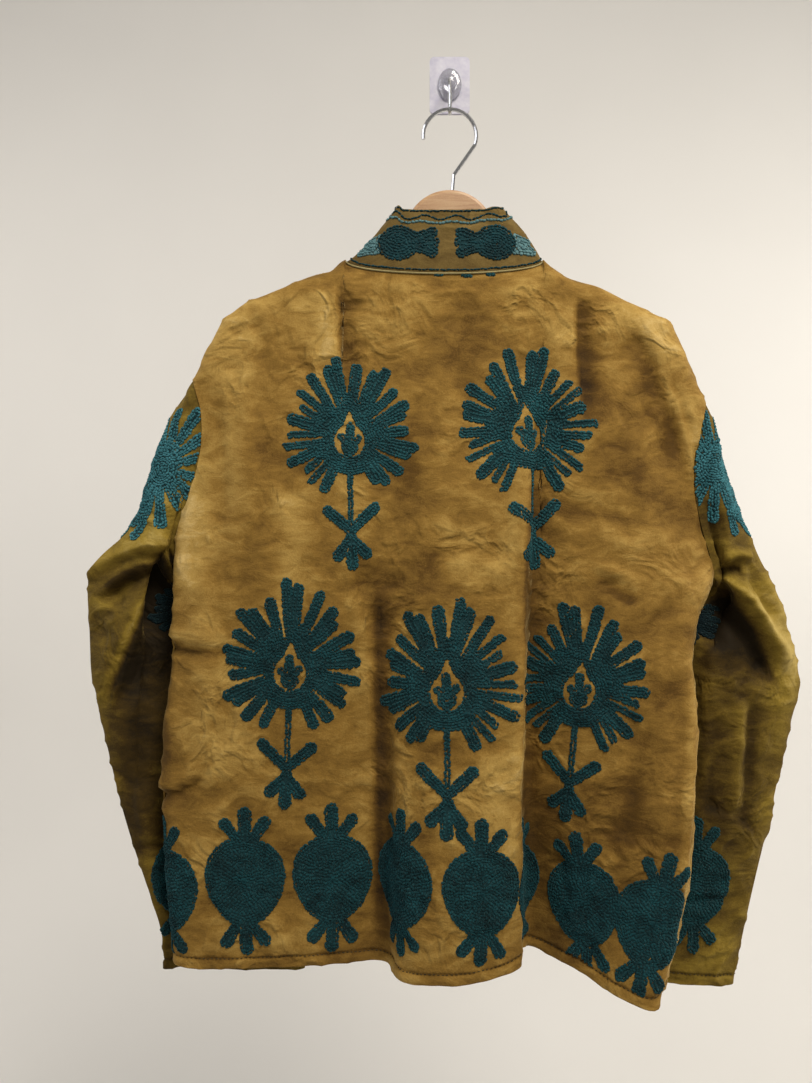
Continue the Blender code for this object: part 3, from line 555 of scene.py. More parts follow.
# %% Points of the collar
def collar_points(left_top, back_top, right_top):
    """Rows of the collar, from the neckline up; columns run from front edge to front edge."""
    base = np.concatenate([left_top[::-1], back_top[1:], right_top[1:]])
    left_corner = len(left_top) - 1
    right_corner = left_corner + len(back_top) - 1
    index = np.arange(len(base))
    x_left, x_right = base[left_corner, 0], base[right_corner, 0]
    across = (base[:, 0] - (x_left + x_right) / 2) / ((x_right - x_left) / 2)
    on_back = (index >= left_corner) & (index <= right_corner)
    ahead = np.where(index < left_corner, (left_corner - index) / left_corner,
                     (index - right_corner) / (len(base) - 1 - right_corner))
    sideways = np.clip((np.abs(across) - COLLAR_TURN) / (1 - COLLAR_TURN), 0, 1)
    on_left = index <= (left_corner + right_corner) / 2
    side = np.where(on_left, 1, -1)
    lean = sideways * np.where(on_left, COLLAR_LEAN_LEFT, COLLAR_LEAN_RIGHT)
    back = np.where(on_back, COLLAR_LEAN_BACK * (1 - sideways), 0.0)
    ends = np.where(on_left, COLLAR_LEFT, COLLAR_RIGHT)
    tall = np.where(on_back, mix(COLLAR_BACK, ends, sideways), mix(ends, COLLAR_FRONT, ahead))
    way = np.stack([side * lean, back, np.sqrt(1 - lean ** 2 - back ** 2)], axis=-1)
    bow = np.where(on_left, COLLAR_BOW_LEFT, COLLAR_BOW_RIGHT)
    rows = []
    for rise in np.linspace(0, 1, (COLLAR_ROWS - 1) * FINER_DOWN + 1):
        reach = np.stack([tall * rise ** bow, tall * rise, tall * rise], axis=-1)
        rows.append(base + way * (SEAM_GAP + reach))
    return np.array(rows)


first_neck = (SHOULDER_COLUMNS + 1) * FINER_ACROSS
forms["collar"] = collar_points(
    forms["left"][0, first_neck:], forms["back"][0, first_neck:-first_neck],
    forms["right"][0, first_neck:],
)
print("points in the collar:", forms["collar"].shape[:2])

# %% [markdown]
# ## Creases
# Velvet holds every fold it was packed with. Each crease here is a short line in the
# photograph with a height, plus for a ridge and minus for a trough, and two widths, so
# one side can be steep and the other soft as in real cloth. The sheet is pushed out along
# its own normal by the sum of them all. The hidden fronts get the same kind of creases.

# %% The creases
BACK_CREASES = [
    # from x y, by x y, to x y, width on the left and right (px), height (mm)
    ("left of the neck", 332, 280, 332, 320, 336, 372, 20, 6, 1.8),
    ("hollow beside it", 342, 280, 342, 325, 348, 380, 4, 14, -2.8),
    ("right of the neck", 570, 295, 570, 350, 576, 420, 18, 6, 1.8),
    ("hollow beside that", 581, 295, 581, 350, 588, 420, 4, 13, -3.0),
    ("right shoulder", 636, 312, 668, 384, 696, 480, 5, 22, 3.4),
    ("hollow inside it", 626, 318, 658, 390, 686, 480, 18, 5, -2.8),
    ("right armhole", 664, 372, 692, 440, 704, 520, 4, 5, -2.6),
    ("left shoulder wrinkle", 228, 334, 246, 326, 270, 324, 4, 4, -2.0),
    ("left shoulder dart", 250, 318, 262, 345, 266, 380, 5, 8, -1.4),
    ("upper ridge", 532, 400, 526, 470, 522, 600, 14, 7, 3.0),
    ("upper tuck", 543, 400, 539, 470, 532, 600, 7, 22, -3.6),
    ("lower ridge", 524, 560, 521, 680, 519, 800, 10, 5, 2.6),
    ("drag at the right chest", 552, 507, 600, 512, 646, 522, 6, 6, -2.0),
    ("drag below it", 560, 530, 610, 540, 660, 548, 7, 7, 1.6),
    ("dip of the right back", 592, 578, 616, 588, 637, 606, 4, 6, -2.6),
    ("lip of that dip", 588, 566, 618, 574, 645, 596, 6, 5, 2.2),
    ("fold to the right side", 640, 640, 664, 612, 690, 606, 6, 5, -2.2),
    ("short fold under it", 632, 664, 650, 650, 672, 640, 4, 5, 1.8),
    ("left side pinch", 152, 634, 190, 650, 236, 648, 6, 3.5, -3.4),
    ("left side pinch lip", 150, 622, 188, 638, 234, 637, 3.5, 8, 2.4),
    ("left low pinch", 142, 790, 172, 794, 206, 776, 4, 4, -4.0),
    ("left low pinch lip", 142, 780, 172, 785, 206, 766, 3, 8, 3.2),
    ("left side soft fold", 196, 560, 208, 640, 204, 720, 16, 10, 2.4),
    ("middle of the left back", 330, 600, 372, 580, 404, 590, 9, 9, -1.8),
    ("crease left of the valley", 356, 590, 366, 680, 364, 780, 9, 5, 2.0),
    ("valley top", 352, 548, 364, 590, 380, 640, 6, 10, -3.0),
    ("below the yoke", 420, 560, 470, 548, 520, 556, 12, 12, -1.4),
    ("slant over the right hip", 600, 828, 648, 842, 700, 838, 5, 7, -2.4),
    ("second slant", 596, 800, 640, 806, 690, 796, 7, 6, 2.0),
    ("bent hem corner", 552, 850, 566, 884, 560, 930, 5, 5, -1.8),
    ("bulge cross fold", 405, 742, 450, 752, 505, 742, 9, 9, -1.3),
    ("right flat upright", 660, 690, 668, 770, 654, 860, 12, 9, 2.4),
    ("right flat hollow", 628, 700, 634, 770, 622, 850, 12, 10, -2.2),
    ("left yoke drag", 290, 330, 310, 420, 300, 500, 14, 14, -1.6),
    ("left chest ridge", 236, 380, 250, 450, 246, 540, 14, 10, 2.4),
    ("left chest hollow", 214, 400, 222, 470, 218, 540, 8, 8, -2.0),
    ("yoke middle left", 398, 300, 404, 370, 396, 450, 16, 12, 1.4),
    ("yoke middle right", 470, 300, 466, 360, 474, 440, 14, 14, -1.4),
    ("hem left pull", 250, 938, 300, 946, 360, 944, 5, 5, 1.2),
]
SLEEVE_LEFT_CREASES = [
    ("lit fold over the elbow", 78, 590, 122, 556, 176, 542, 4, 16, 7.0),
    ("hollow under that fold", 98, 604, 134, 576, 182, 564, 22, 3, -9.0),
    ("dark hollow at the arm", 168, 546, 168, 584, 156, 640, 15, 16, -15.0),
    ("edge of the inner crease", 172, 548, 138, 608, 98, 712, 22, 3, 6.5),
    ("recess beside it", 172, 560, 147, 624, 112, 716, 3, 24, -13.0),
    ("recess further down", 158, 630, 142, 720, 134, 810, 14, 22, -8.0),
    ("elbow wrinkle", 92, 620, 112, 640, 130, 690, 7, 6, -2.2),
    ("lower arm fold", 118, 720, 138, 790, 152, 860, 9, 8, 2.6),
    ("cuff pull", 132, 852, 150, 846, 172, 846, 4, 5, -2.4),
    ("upper arm crease", 176, 420, 160, 470, 140, 520, 7, 8, -2.0),
    ("second upper crease", 196, 430, 186, 490, 170, 540, 6, 8, 2.4),
    ("lower hollow", 108, 760, 128, 800, 140, 850, 7, 7, -2.2),
]
SLEEVE_RIGHT_CREASES = [
    ("knot under the arm", 722, 560, 738, 554, 752, 562, 5, 5, 4.0),
    ("hollow below the knot", 716, 576, 728, 572, 744, 574, 4, 6, -4.0),
    ("lit fold edge", 716, 572, 756, 612, 790, 676, 5, 9, 9.0),
    ("dark hollow", 706, 584, 716, 614, 704, 648, 14, 15, -22.0),
    ("hollow under the fold", 722, 602, 750, 636, 774, 690, 12, 7, -11.0),
    ("outer ridge", 757, 572, 772, 598, 786, 630, 5, 5, 3.0),
    ("outer trough", 748, 576, 762, 604, 776, 640, 4, 4, -2.6),
    ("upright down the arm", 740, 690, 738, 760, 726, 830, 8, 5, 3.0),
    ("trough beside it", 752, 690, 750, 760, 742, 830, 5, 8, -3.2),
    ("second trough", 712, 700, 714, 760, 704, 830, 7, 8, -2.0),
    ("forearm cross fold", 700, 806, 730, 812, 760, 836, 5, 7, -2.4),
    ("cuff fold", 676, 908, 706, 900, 748, 902, 4, 5, -1.8),
    ("upper arm line", 716, 440, 734, 490, 752, 540, 6, 8, -1.8),
    ("upper arm ridge", 706, 450, 720, 500, 730, 548, 6, 6, 2.0),
]
SLEEVE_HIDDEN_CREASES = [
    ("left elbow fold", 90, 600, 130, 610, 168, 600, 9, 7, 3.0),
    ("left elbow hollow", 92, 626, 130, 640, 166, 630, 7, 9, -2.6),
    ("left upright fold", 130, 660, 142, 750, 166, 850, 9, 8, 2.6),
    ("left upright hollow", 112, 660, 126, 750, 150, 850, 7, 8, -2.2),
    ("right elbow fold", 780, 620, 744, 630, 700, 616, 8, 9, 3.0),
    ("right elbow hollow", 778, 650, 744, 660, 704, 648, 9, 7, -2.6),
    ("right upright fold", 740, 680, 730, 760, 706, 860, 8, 9, 2.6),
    ("right upright hollow", 758, 680, 750, 760, 726, 860, 7, 8, -2.2),
]
FRONT_CREASES = [
    ("left front long fold", 250, 360, 262, 520, 256, 760, 18, 10, 3.0),
    ("left front hollow", 300, 420, 316, 600, 306, 860, 16, 12, -3.0),
    ("left front drag", 190, 560, 250, 600, 330, 610, 9, 12, -2.2),
    ("left front side pinch", 170, 690, 210, 700, 250, 690, 8, 8, 2.0),
    ("right front long fold", 600, 380, 592, 560, 606, 820, 14, 18, 3.0),
    ("right front hollow", 540, 420, 552, 620, 544, 860, 12, 16, -3.0),
    ("right front drag", 680, 560, 620, 590, 530, 600, 10, 10, -2.2),
    ("right front side pinch", 680, 700, 640, 716, 590, 710, 8, 8, 2.0),
]
# Painted light and shade, mixed with how the pile lies: above 0 the cloth is painted lighter, as a
# highlight on a lit edge or ridge or where the pile is brushed up or worn, below 0 it is painted
# darker, as shade deep in a fold, hollow or recess or where the pile is crushed.
BACK_PAINTED_SHADE_AND_PILE = [
    # from x y, by x y, to x y, width on the left and right (px), tone
    ("beside the left crease", 341, 280, 341, 330, 348, 420, 2.5, 20, -0.75),
    ("left of that crease", 324, 285, 326, 320, 330, 370, 14, 5, 0.45),
    ("beside the right crease", 579, 290, 579, 350, 588, 440, 2.5, 16, -0.8),
    ("left of the right crease", 560, 300, 560, 350, 566, 400, 12, 6, 0.2),
    ("left side", 186, 390, 190, 500, 182, 620, 16, 36, 0.62),
    ("left side, brightest", 182, 430, 184, 500, 180, 600, 6, 14, 0.40),
    ("left shoulder", 226, 334, 262, 306, 320, 288, 26, 14, 0.42),
    ("left chest hollow", 262, 400, 258, 460, 262, 560, 10, 14, -0.25),
    ("left chest", 284, 480, 292, 540, 284, 600, 18, 24, 0.75),
    ("yoke", 360, 300, 440, 330, 540, 300, 40, 18, -0.22),
    ("between the upper flowers", 400, 380, 404, 500, 392, 640, 30, 34, -0.32),
    ("middle, lit streak", 440, 500, 452, 540, 460, 590, 14, 16, 0.28),
    ("valley", 379, 560, 380, 740, 380, 965, 6, 14, -1.6),
    ("left of the valley", 352, 640, 356, 760, 352, 940, 22, 10, 0.22),
    ("bulge, lit side", 512, 470, 513, 700, 513, 975, 20, 5, 0.30),
    ("bulge, left part", 420, 700, 418, 800, 420, 960, 16, 18, -0.28),
    ("deep tuck", 528, 450, 524, 700, 524, 950, 2.5, 20, -1.0),
    ("right of the tuck", 545, 540, 550, 700, 556, 900, 16, 40, -0.40),
    ("right low", 610, 760, 628, 850, 640, 960, 70, 60, -0.55),
    ("right hip", 650, 640, 664, 720, 660, 800, 26, 22, -0.30),
    ("right chest", 590, 500, 620, 540, 650, 590, 26, 30, 0.05),
    ("drag at the right chest", 552, 498, 600, 503, 646, 514, 4, 5, 0.45),
    ("under that drag", 552, 510, 600, 515, 646, 526, 5, 4, -0.40),
    ("right shoulder", 600, 306, 650, 326, 676, 370, 14, 12, 0.40),
    ("right shoulder crease", 630, 318, 660, 390, 688, 476, 14, 3, -0.55),
    ("right edge", 688, 380, 696, 440, 706, 520, 12, 8, 0.50),
    ("left low", 196, 680, 204, 800, 206, 940, 20, 26, 0.06),
    ("left side pinch", 156, 636, 190, 652, 236, 650, 6, 2.5, -0.6),
    ("left side pinch lip", 154, 626, 188, 642, 232, 641, 3, 5, 0.7),
    ("side line", 168, 600, 164, 760, 166, 960, 8, 6, -0.45),
    ("right flank line", 694, 640, 690, 760, 682, 900, 5, 6, 0.45),
    ("slant over the hip", 600, 832, 648, 846, 700, 842, 4, 4, -0.5),
    ("dip of the right back", 592, 582, 616, 592, 637, 610, 5, 5, -0.6),
    ("lip of that dip", 588, 572, 618, 580, 645, 600, 4, 5, 0.5),
    ("hem, left", 180, 960, 270, 964, 380, 960, 14, 8, -0.45),
    ("right yoke", 610, 380, 618, 440, 620, 490, 24, 26, -0.50),
    ("below the yoke, middle", 420, 540, 420, 580, 424, 620, 26, 26, -0.35),
    ("left side of the yoke", 226, 400, 232, 460, 232, 520, 18, 22, 0.35),
]
# The sleeves' painted shade and highlights, with how their pile lies.
SLEEVE_LEFT_PAINTED_SHADE_AND_PILE = [
    ("over the elbow", 92, 578, 130, 552, 176, 540, 4, 14, 0.70),
    ("under that fold", 98, 593, 132, 570, 176, 560, 6, 2, -1.1),
    ("forearm below it", 110, 602, 116, 640, 104, 700, 30, 20, -0.70),
    ("recess", 172, 556, 144, 614, 104, 716, 1.5, 60, -1.25),
    ("edge of the recess", 169, 556, 140, 610, 100, 712, 3, 1.5, 1.10),
    ("recess, deepest", 176, 570, 172, 620, 160, 690, 20, 20, -0.8),
    ("lower sleeve", 146, 690, 142, 780, 152, 850, 34, 34, -0.75),
    ("upper arm", 192, 400, 170, 480, 140, 530, 16, 12, 0.60),
    ("deep corner at the arm", 173, 552, 168, 574, 160, 602, 10, 12, -2.0),
    ("cuff pull", 130, 852, 150, 848, 176, 846, 4, 4, -0.4),
]
SLEEVE_RIGHT_PAINTED_SHADE_AND_PILE = [
    ("hollow", 704, 590, 714, 616, 706, 644, 18, 20, -2.0),
    ("hollow, right part", 720, 588, 728, 612, 726, 644, 14, 8, -1.8),
    ("below the hollow", 712, 640, 728, 668, 738, 716, 26, 18, -0.8),
    ("under the fold", 720, 594, 752, 628, 780, 694, 22, 2, -1.3),
    ("fold edge", 720, 574, 758, 612, 790, 676, 3, 5, 1.0),
    ("outer forearm", 750, 578, 776, 616, 792, 690, 12, 12, 0.90),
    ("knot", 724, 558, 738, 553, 752, 560, 3, 4, 0.5),
    ("below the knot", 718, 572, 730, 569, 746, 572, 3, 3, -0.7),
    ("outer edge", 788, 600, 794, 660, 770, 800, 12, 6, 0.60),
    ("lower sleeve", 734, 700, 736, 780, 712, 880, 30, 20, -0.75),
    ("down the arm", 742, 700, 740, 770, 728, 850, 9, 5, 0.35),
    ("beside that", 756, 700, 752, 770, 744, 850, 5, 9, -0.35),
    ("forearm cross fold", 700, 810, 730, 816, 762, 840, 5, 4, -0.45),
    ("forearm beside the body", 700, 660, 704, 740, 700, 820, 14, 12, -0.3),
]
NO_PAINTED_SHADE_OR_PILE = []
CREASE_GAIN = 1.35
# Painted shade and highlight: the cloth in a trough is painted darker and on a ridge lighter by this
# tone, in full from this depth on.
CREASE_PAINTED_SHADE, TROUGH_DEPTH = 0.30, 0.0035
# A line is bent through its middle with this many points, and fades over this share of it.
LINE_POINTS, LINE_FADE = 13, 0.2


def along_lines(pixels, rows):
    """The sum of all the rows' values at each place, fading to the sides and the ends."""
    total = np.zeros(pixels.shape[:-1])
    share = np.linspace(0, 1, LINE_POINTS)[:, None]
    for row in rows:
        start, middle, end = np.array(row[1:7]).reshape(3, 2)
        left, right, value = row[7:]
        bend = 2 * middle - (start + end) / 2
        line = (1 - share) ** 2 * start + 2 * share * (1 - share) * bend + share ** 2 * end
        best = np.full(pixels.shape[:-1], 1e9)
        place = np.zeros(pixels.shape[:-1])
        beside = np.zeros(pixels.shape[:-1])
        for k, (a, b) in enumerate(zip(line[:-1], line[1:])):
            run = b - a
            t = np.clip(((pixels - a) @ run) / (run @ run), 0, 1)
            away = pixels - a - t[..., None] * run
            far = np.linalg.norm(away, axis=-1)
            closer = far < best
            best = np.where(closer, far, best)
            place = np.where(closer, (k + t) / (len(line) - 1), place)
            turn = run[0] * away[..., 1] - run[1] * away[..., 0]
            beside = np.where(closer, turn, beside)
        width = np.where(beside > 0, left, right)
        fade = smooth01(place / LINE_FADE) * smooth01((1 - place) / LINE_FADE)
        total += value * fade * np.exp(-((best / width) ** 2))
    return total


def crease_heights(pixels, creases):
    """How far the cloth stands out at each place, in metres, from all the creases."""
    return CREASE_GAIN * MM * along_lines(pixels, creases)


def ripple(points, size, stretch=1.0):
    """Soft uneven waves, one number from -1 to 1 for each point; size is in metres."""
    flat = points.reshape(-1, 3) / np.array([size, size, size * stretch])
    values = [noise.noise(Vector(p)) for p in flat]
    return np.array(values).reshape(points.shape[:-1])


print("creases in all:", sum(map(len, (
    BACK_CREASES, SLEEVE_LEFT_CREASES, SLEEVE_RIGHT_CREASES, SLEEVE_HIDDEN_CREASES,
    FRONT_CREASES))))

# %% [markdown]
# ## Normals and hems
# A hem is the cloth's edge turned under twice and stitched, so its last centimetre stands
# a little proud and ends above in a thin pressed line. It is made as one more crease that
# follows the edge of the sheet instead of the photograph. In a sleeve two layers lie close
# together, so no crease of the room side may sink deeper than the other side allows.

# %% Push the points out into creases and hems
HELD_SHARE = 0.4
HEM_WIDTH, HEM_PROUD, HEM_STEP = 0.0085, 0.0009, 0.003
# The pressed line: how far above the hem's width, how wide, how deep and how much darker it is
# painted, as shade in its groove.
LINE_ABOVE, LINE_WIDTH, LINE_DEPTH, LINE_PAINTED_SHADE = 0.001, 0.0016, 0.0011, 0.5
PUCKER, PUCKER_SIZE, PUCKER_REACH, PUCKER_BLEND = 0.0009, 0.010, 0.016, 0.006
# Soft waves all over: height, size and stretch, and for the finer ones their share of the
# height. Each kind is read at another place of the noise.
WAVES, COLLAR_WAVES = 0.0022, 0.0008
RIPPLE_AT, WRINKLE_AT, PUCKER_AT = 3.0, 7.0, 11.0
WAVE_SIZE, WAVE_STRETCH = 0.060, 1.6
RIPPLE_SIZE, RIPPLE_STRETCH, RIPPLE_SHARE = 0.024, 1.3, 0.6
WRINKLE_SIZE, WRINKLE_STRETCH, WRINKLE_SHARPNESS, WRINKLE_SHARE = 0.034, 0.6, 2.2, 0.8
# How soon a sleeve's creases and its tones of painted shade and pile fade as its cloth turns away
# from the camera.
CREASE_FACING, TONE_FACING = 1.4, 2.0
# Two layers of a sleeve stay this far apart. Layers are looked for within a reach and a
# number of rows, and where there are none, a crease may sink by the loose depth.
LAYER_GAP, LAYER_REACH, LAYER_ROWS, LOOSE_DEPTH = 0.006, 0.009, 5, 0.006
NEAREST_WALL = -0.0035


def normals_of(points, closed, towards):
    """Outward direction at each point of a grid; towards says which way is out."""
    if closed:
        across = np.roll(points, -1, axis=1) - np.roll(points, 1, axis=1)
    else:
        across = np.gradient(points, axis=1)
    normal = unit(np.cross(np.gradient(points, axis=0), across), 1e-12)
    return normal * np.sign((normal * towards).sum() or 1.0)


def distance_to_last_row(points):
    """How far each point is from the hem, measured down its column."""
    steps = np.linalg.norm(np.diff(points, axis=0), axis=-1)
    return np.concatenate([np.cumsum(steps[::-1], axis=0)[::-1], np.zeros((1, points.shape[1]))])


def crease(points, closed, towards, creases, keep_rows, pile=NO_PAINTED_SHADE_OR_PILE, hem=True, waves=WAVES):
    """The grid pushed out into its creases, and at each point its tone: painted shade and highlight,
    with how its pile lies.

    A seam holds the first rows: a HELD_SHARE of keep_rows stays where it is, and the rest
    moves more and more. A closed grid is a sleeve. Nothing goes past NEAREST_WALL.
    """
    normal = normals_of(points, closed, towards)
    pixels = photo_px(points)
    height = crease_heights(pixels, creases)
    if closed:
        height *= np.clip(-CREASE_FACING * normal[..., 1], 0, 1)
        height += crease_heights(pixels, SLEEVE_HIDDEN_CREASES) * np.clip(normal[..., 1], 0, 1)
    large = waves * ripple(points, WAVE_SIZE, WAVE_STRETCH)
    small = waves * RIPPLE_SHARE * ripple(points + RIPPLE_AT, RIPPLE_SIZE, RIPPLE_STRETCH)
    height += large + small
    fine = np.abs(ripple(points + WRINKLE_AT, WRINKLE_SIZE, WRINKLE_STRETCH))
    sharp = 1 - fine * WRINKLE_SHARPNESS
    height += waves * WRINKLE_SHARE * np.clip(sharp, 0, 1) ** 3
    # The tone is painted shade and highlight, with how the pile lies.
    tone = along_lines(pixels, pile)
    if closed:
        tone *= np.clip(-TONE_FACING * normal[..., 1], 0, 1)
    tone += CREASE_PAINTED_SHADE * np.clip(height / TROUGH_DEPTH, -1, 1)
    rows = np.arange(len(points))[:, None]
    height *= smooth01((rows - keep_rows * HELD_SHARE) / keep_rows)
    if hem:
        away = distance_to_last_row(points)
        pressed = np.exp(-(((away - HEM_WIDTH - LINE_ABOVE) / LINE_WIDTH) ** 2))
        near = smooth01((PUCKER_REACH - away) / PUCKER_BLEND)
        height += HEM_PROUD * smooth01((HEM_WIDTH - away) / HEM_STEP)
        height -= LINE_DEPTH * pressed
        height += PUCKER * ripple(points + PUCKER_AT, PUCKER_SIZE) * near
        tone -= LINE_PAINTED_SHADE * pressed
    if closed:
        height = np.maximum(height, -depth_to_sink(points, 2 * arm_rows - 1))
    pushed = points + normal * height[..., None]
    pushed[..., 1] = np.minimum(pushed[..., 1], NEAREST_WALL)
    return pushed, tone


def depth_to_sink(points, room):
    """How far a sleeve's room side, its first columns, may sink before it meets the other."""
    depth = np.full(points.shape[:2], np.inf)
    for i, row in enumerate(points):
        side = points[max(0, i - LAYER_ROWS):i + LAYER_ROWS + 1, room:].reshape(-1, 3)
        away = np.linalg.norm(row[:room, None, ::2] - side[None, :, ::2], axis=-1)
        behind = np.where(away < LAYER_REACH, side[:, 1], np.inf).min(axis=1)
        free = np.maximum(behind - row[:room, 1] - LAYER_GAP, 0.0)
        depth[i, :room] = np.where(np.isinf(behind), LOOSE_DEPTH, free)
    return depth


def soften(points, passes):
    """Evens out the rings of a tube along its length, its two ends held."""
    for _ in range(passes):
        inner = (points[:-2] + 2 * points[1:-1] + points[2:]) / 4
        points = np.concatenate([points[:2], inner[1:], points[-1:]])
    return points


def from_middle(rings):
    """Which way is out of a tube: away from the middle of each ring."""
    return rings - rings.mean(axis=1, keepdims=True)


# Rows at the top that a seam holds. A sleeve's rings are evened first, and then its room
# side gets twice the columns, since the photo shows it.
HELD_ROWS = {"body": 8, "sleeve": 20, "collar": 3}
EVEN_PASSES, SLEEVE_FINER = 6, 2
LEVEL = np.array([1, 1, 0])
TO_ROOM, TO_WALL = np.array([0.0, -1.0, 0.0]), np.array([0.0, 1.0, 0.0])
surfaces, shade_and_pile_tones = {}, {}
for name, out, creases, pile in (
    ("back", TO_ROOM, BACK_CREASES, BACK_PAINTED_SHADE_AND_PILE), ("left", TO_WALL, FRONT_CREASES, NO_PAINTED_SHADE_OR_PILE),
    ("right", TO_WALL, FRONT_CREASES, NO_PAINTED_SHADE_OR_PILE),
):
    surfaces[name], shade_and_pile_tones[name] = crease(
        forms[name], False, out, creases, HELD_ROWS["body"], pile)
for name, creases, pile in (
    ("sleeve_left", SLEEVE_LEFT_CREASES, SLEEVE_LEFT_PAINTED_SHADE_AND_PILE),
    ("sleeve_right", SLEEVE_RIGHT_CREASES, SLEEVE_RIGHT_PAINTED_SHADE_AND_PILE),
):
    tube = finer(soften(forms[name], EVEN_PASSES), SLEEVE_FINER)
    room = finer(tube[:, :arm_rows].swapaxes(0, 1), SLEEVE_FINER).swapaxes(0, 1)
    forms[name] = np.concatenate([room, tube[:, arm_rows::SLEEVE_FINER]], axis=1)
    surfaces[name], shade_and_pile_tones[name] = crease(
        forms[name], True, from_middle(forms[name]), creases, HELD_ROWS["sleeve"], pile)
collar_out = (forms["collar"] - forms["collar"].mean(axis=(0, 1))) * LEVEL
surfaces["collar"], shade_and_pile_tones["collar"] = crease(
    forms["collar"], False, collar_out, [], HELD_ROWS["collar"], hem=False, waves=COLLAR_WAVES)
print("furthest the back was pushed, mm:",
      round(1000 * float(np.linalg.norm(surfaces["back"] - forms["back"], axis=-1).max()), 1))

# %% [markdown]
# ## Materials
# Cotton velvet is a woven ground with a short upright pile. The pile lies one way here and another
# there, which is what makes the cloud of light and dark in it, and its tips catch light at the
# edges, which the shader's sheen gives. On top of that, shade in the folds and highlights on lit
# edges are painted into the velvet's colour. The wool is a soft loose yarn, matt and hairy. A small
# function adds any node, a few more add the kinds that are used often, and one turns a hex colour to
# linear.

# %% Helpers for materials
def linear(code):
    """A colour given as sRGB hex, as linear values for a shader."""
    channel = [int(code[i:i + 2], 16) / 255 for i in (0, 2, 4)]
    return (*[c / 12.92 if c <= 0.04045 else ((c + 0.055) / 1.055) ** 2.4 for c in channel], 1.0)


def add(tree, kind, inputs=None, **settings):
    """A node with its settings, its values and its links."""
    node = tree.nodes.new(kind)
    for key, value in settings.items():
        setattr(node, key, value)
    for key, value in (inputs or {}).items():
        if isinstance(value, bpy.types.NodeSocket):
            tree.links.new(value, node.inputs[key])
        else:
            node.inputs[key].default_value = value
    return node


def set_shader(made, **values):
    """Puts numbers, hex colours and links on the sockets of a material's shader."""
    shader = made.node_tree.nodes["Principled BSDF"]
    for key, value in values.items():
        socket = shader.inputs[key.replace("_", " ").title().replace("Ior", "IOR")]
        if isinstance(value, bpy.types.NodeSocket):
            made.node_tree.links.new(value, socket)
        else:
            socket.default_value = linear(value) if isinstance(value, str) else value


def start_material(name, **values):
    """A material with one shader, its tree, and each place on the object, in metres."""
    made = bpy.data.materials.new(name)
    made.use_nodes = True
    set_shader(made, **values)
    place = add(made.node_tree, "ShaderNodeTexCoord").outputs["Object"]
    return made, made.node_tree, place


def patches_of(tree, place, size, detail, roughness=0.5, distortion=0.0):
    """Uneven patches about as wide as size, in metres."""
    return add(tree, "ShaderNodeTexNoise", {
        "Vector": place, "Scale": 1 / size, "Detail": detail, "Roughness": roughness,
        "Distortion": distortion}).outputs["Fac"]


def stretched(tree, place, scale):
    return add(tree, "ShaderNodeMapping", {"Vector": place, "Scale": scale}).outputs["Vector"]


def blend(tree, share, first, second):
    """A value between two others."""
    return add(tree, "ShaderNodeMix", {0: share, 2: first, 3: second}, data_type="FLOAT").outputs[0]


def maths(tree, operation, *values):
    """The result of a sum with up to three values."""
    return add(tree, "ShaderNodeMath", dict(enumerate(values)), operation=operation).outputs[0]


def spread(tree, value, start, stop, low=0.0, high=1.0, **settings):
    """A value that runs from start to stop, spread from low to high."""
    return add(tree, "ShaderNodeMapRange", {
        "Value": value, "From Min": start, "From Max": stop, "To Min": low, "To Max": high,
    }, **settings).outputs["Result"]


def relief(tree, strength, depth, height, over=None):
    """Bumps of a depth in metres, laid over other ones."""
    inputs = {"Strength": strength, "Distance": depth, "Height": height}
    if over is not None:
        inputs["Normal"] = over
    return add(tree, "ShaderNodeBump", inputs).outputs["Normal"]


def ramp(tree, value, stops):
    """Colours by value, as (place, hex) pairs."""
    node = add(tree, "ShaderNodeValToRGB", {"Fac": value})
    while len(node.color_ramp.elements) < len(stops):
        node.color_ramp.elements.new(0.5)
    for element, (place, code) in zip(node.color_ramp.elements, stops):
        element.position = place
        element.color = linear(code)
    return node.outputs["Color"]


# %% Cotton velvet and wool
# The velvet's tone: shares of the streaks and of the single tufts, gain and shift of their sum, what
# the painted highlight along wrinkle lines adds, what the mesh's painted shade and highlights with
# its laid pile add, how wide those lines are in the noise they come from, and where the five colours
# stand.
STREAK_SHARE, TUFT_SHARE, TONE_GAIN, TONE_SHIFT = 0.52, 0.16, 1.3, -0.15
WRINKLE_PAINTED_HIGHLIGHT, PAINTED_SHADE_AND_PILE_TONE, WRINKLE_HALF = 0.05, 0.26, 0.13
VELVET_STOPS = (0.08, 0.32, 0.52, 0.72, 0.95)
# The wool's tone: share of the single stitches, and where its two colours stand.
STITCH_SHARE, WOOL_STOPS = 0.55, (0.34, 0.66)
# Above the waist the wool is painted lighter, as painted light, from the lower of these heights up
# to the higher, in metres.
PAINTED_LIGHT_FROM, PAINTED_LIGHT_TO = -0.53, -0.46


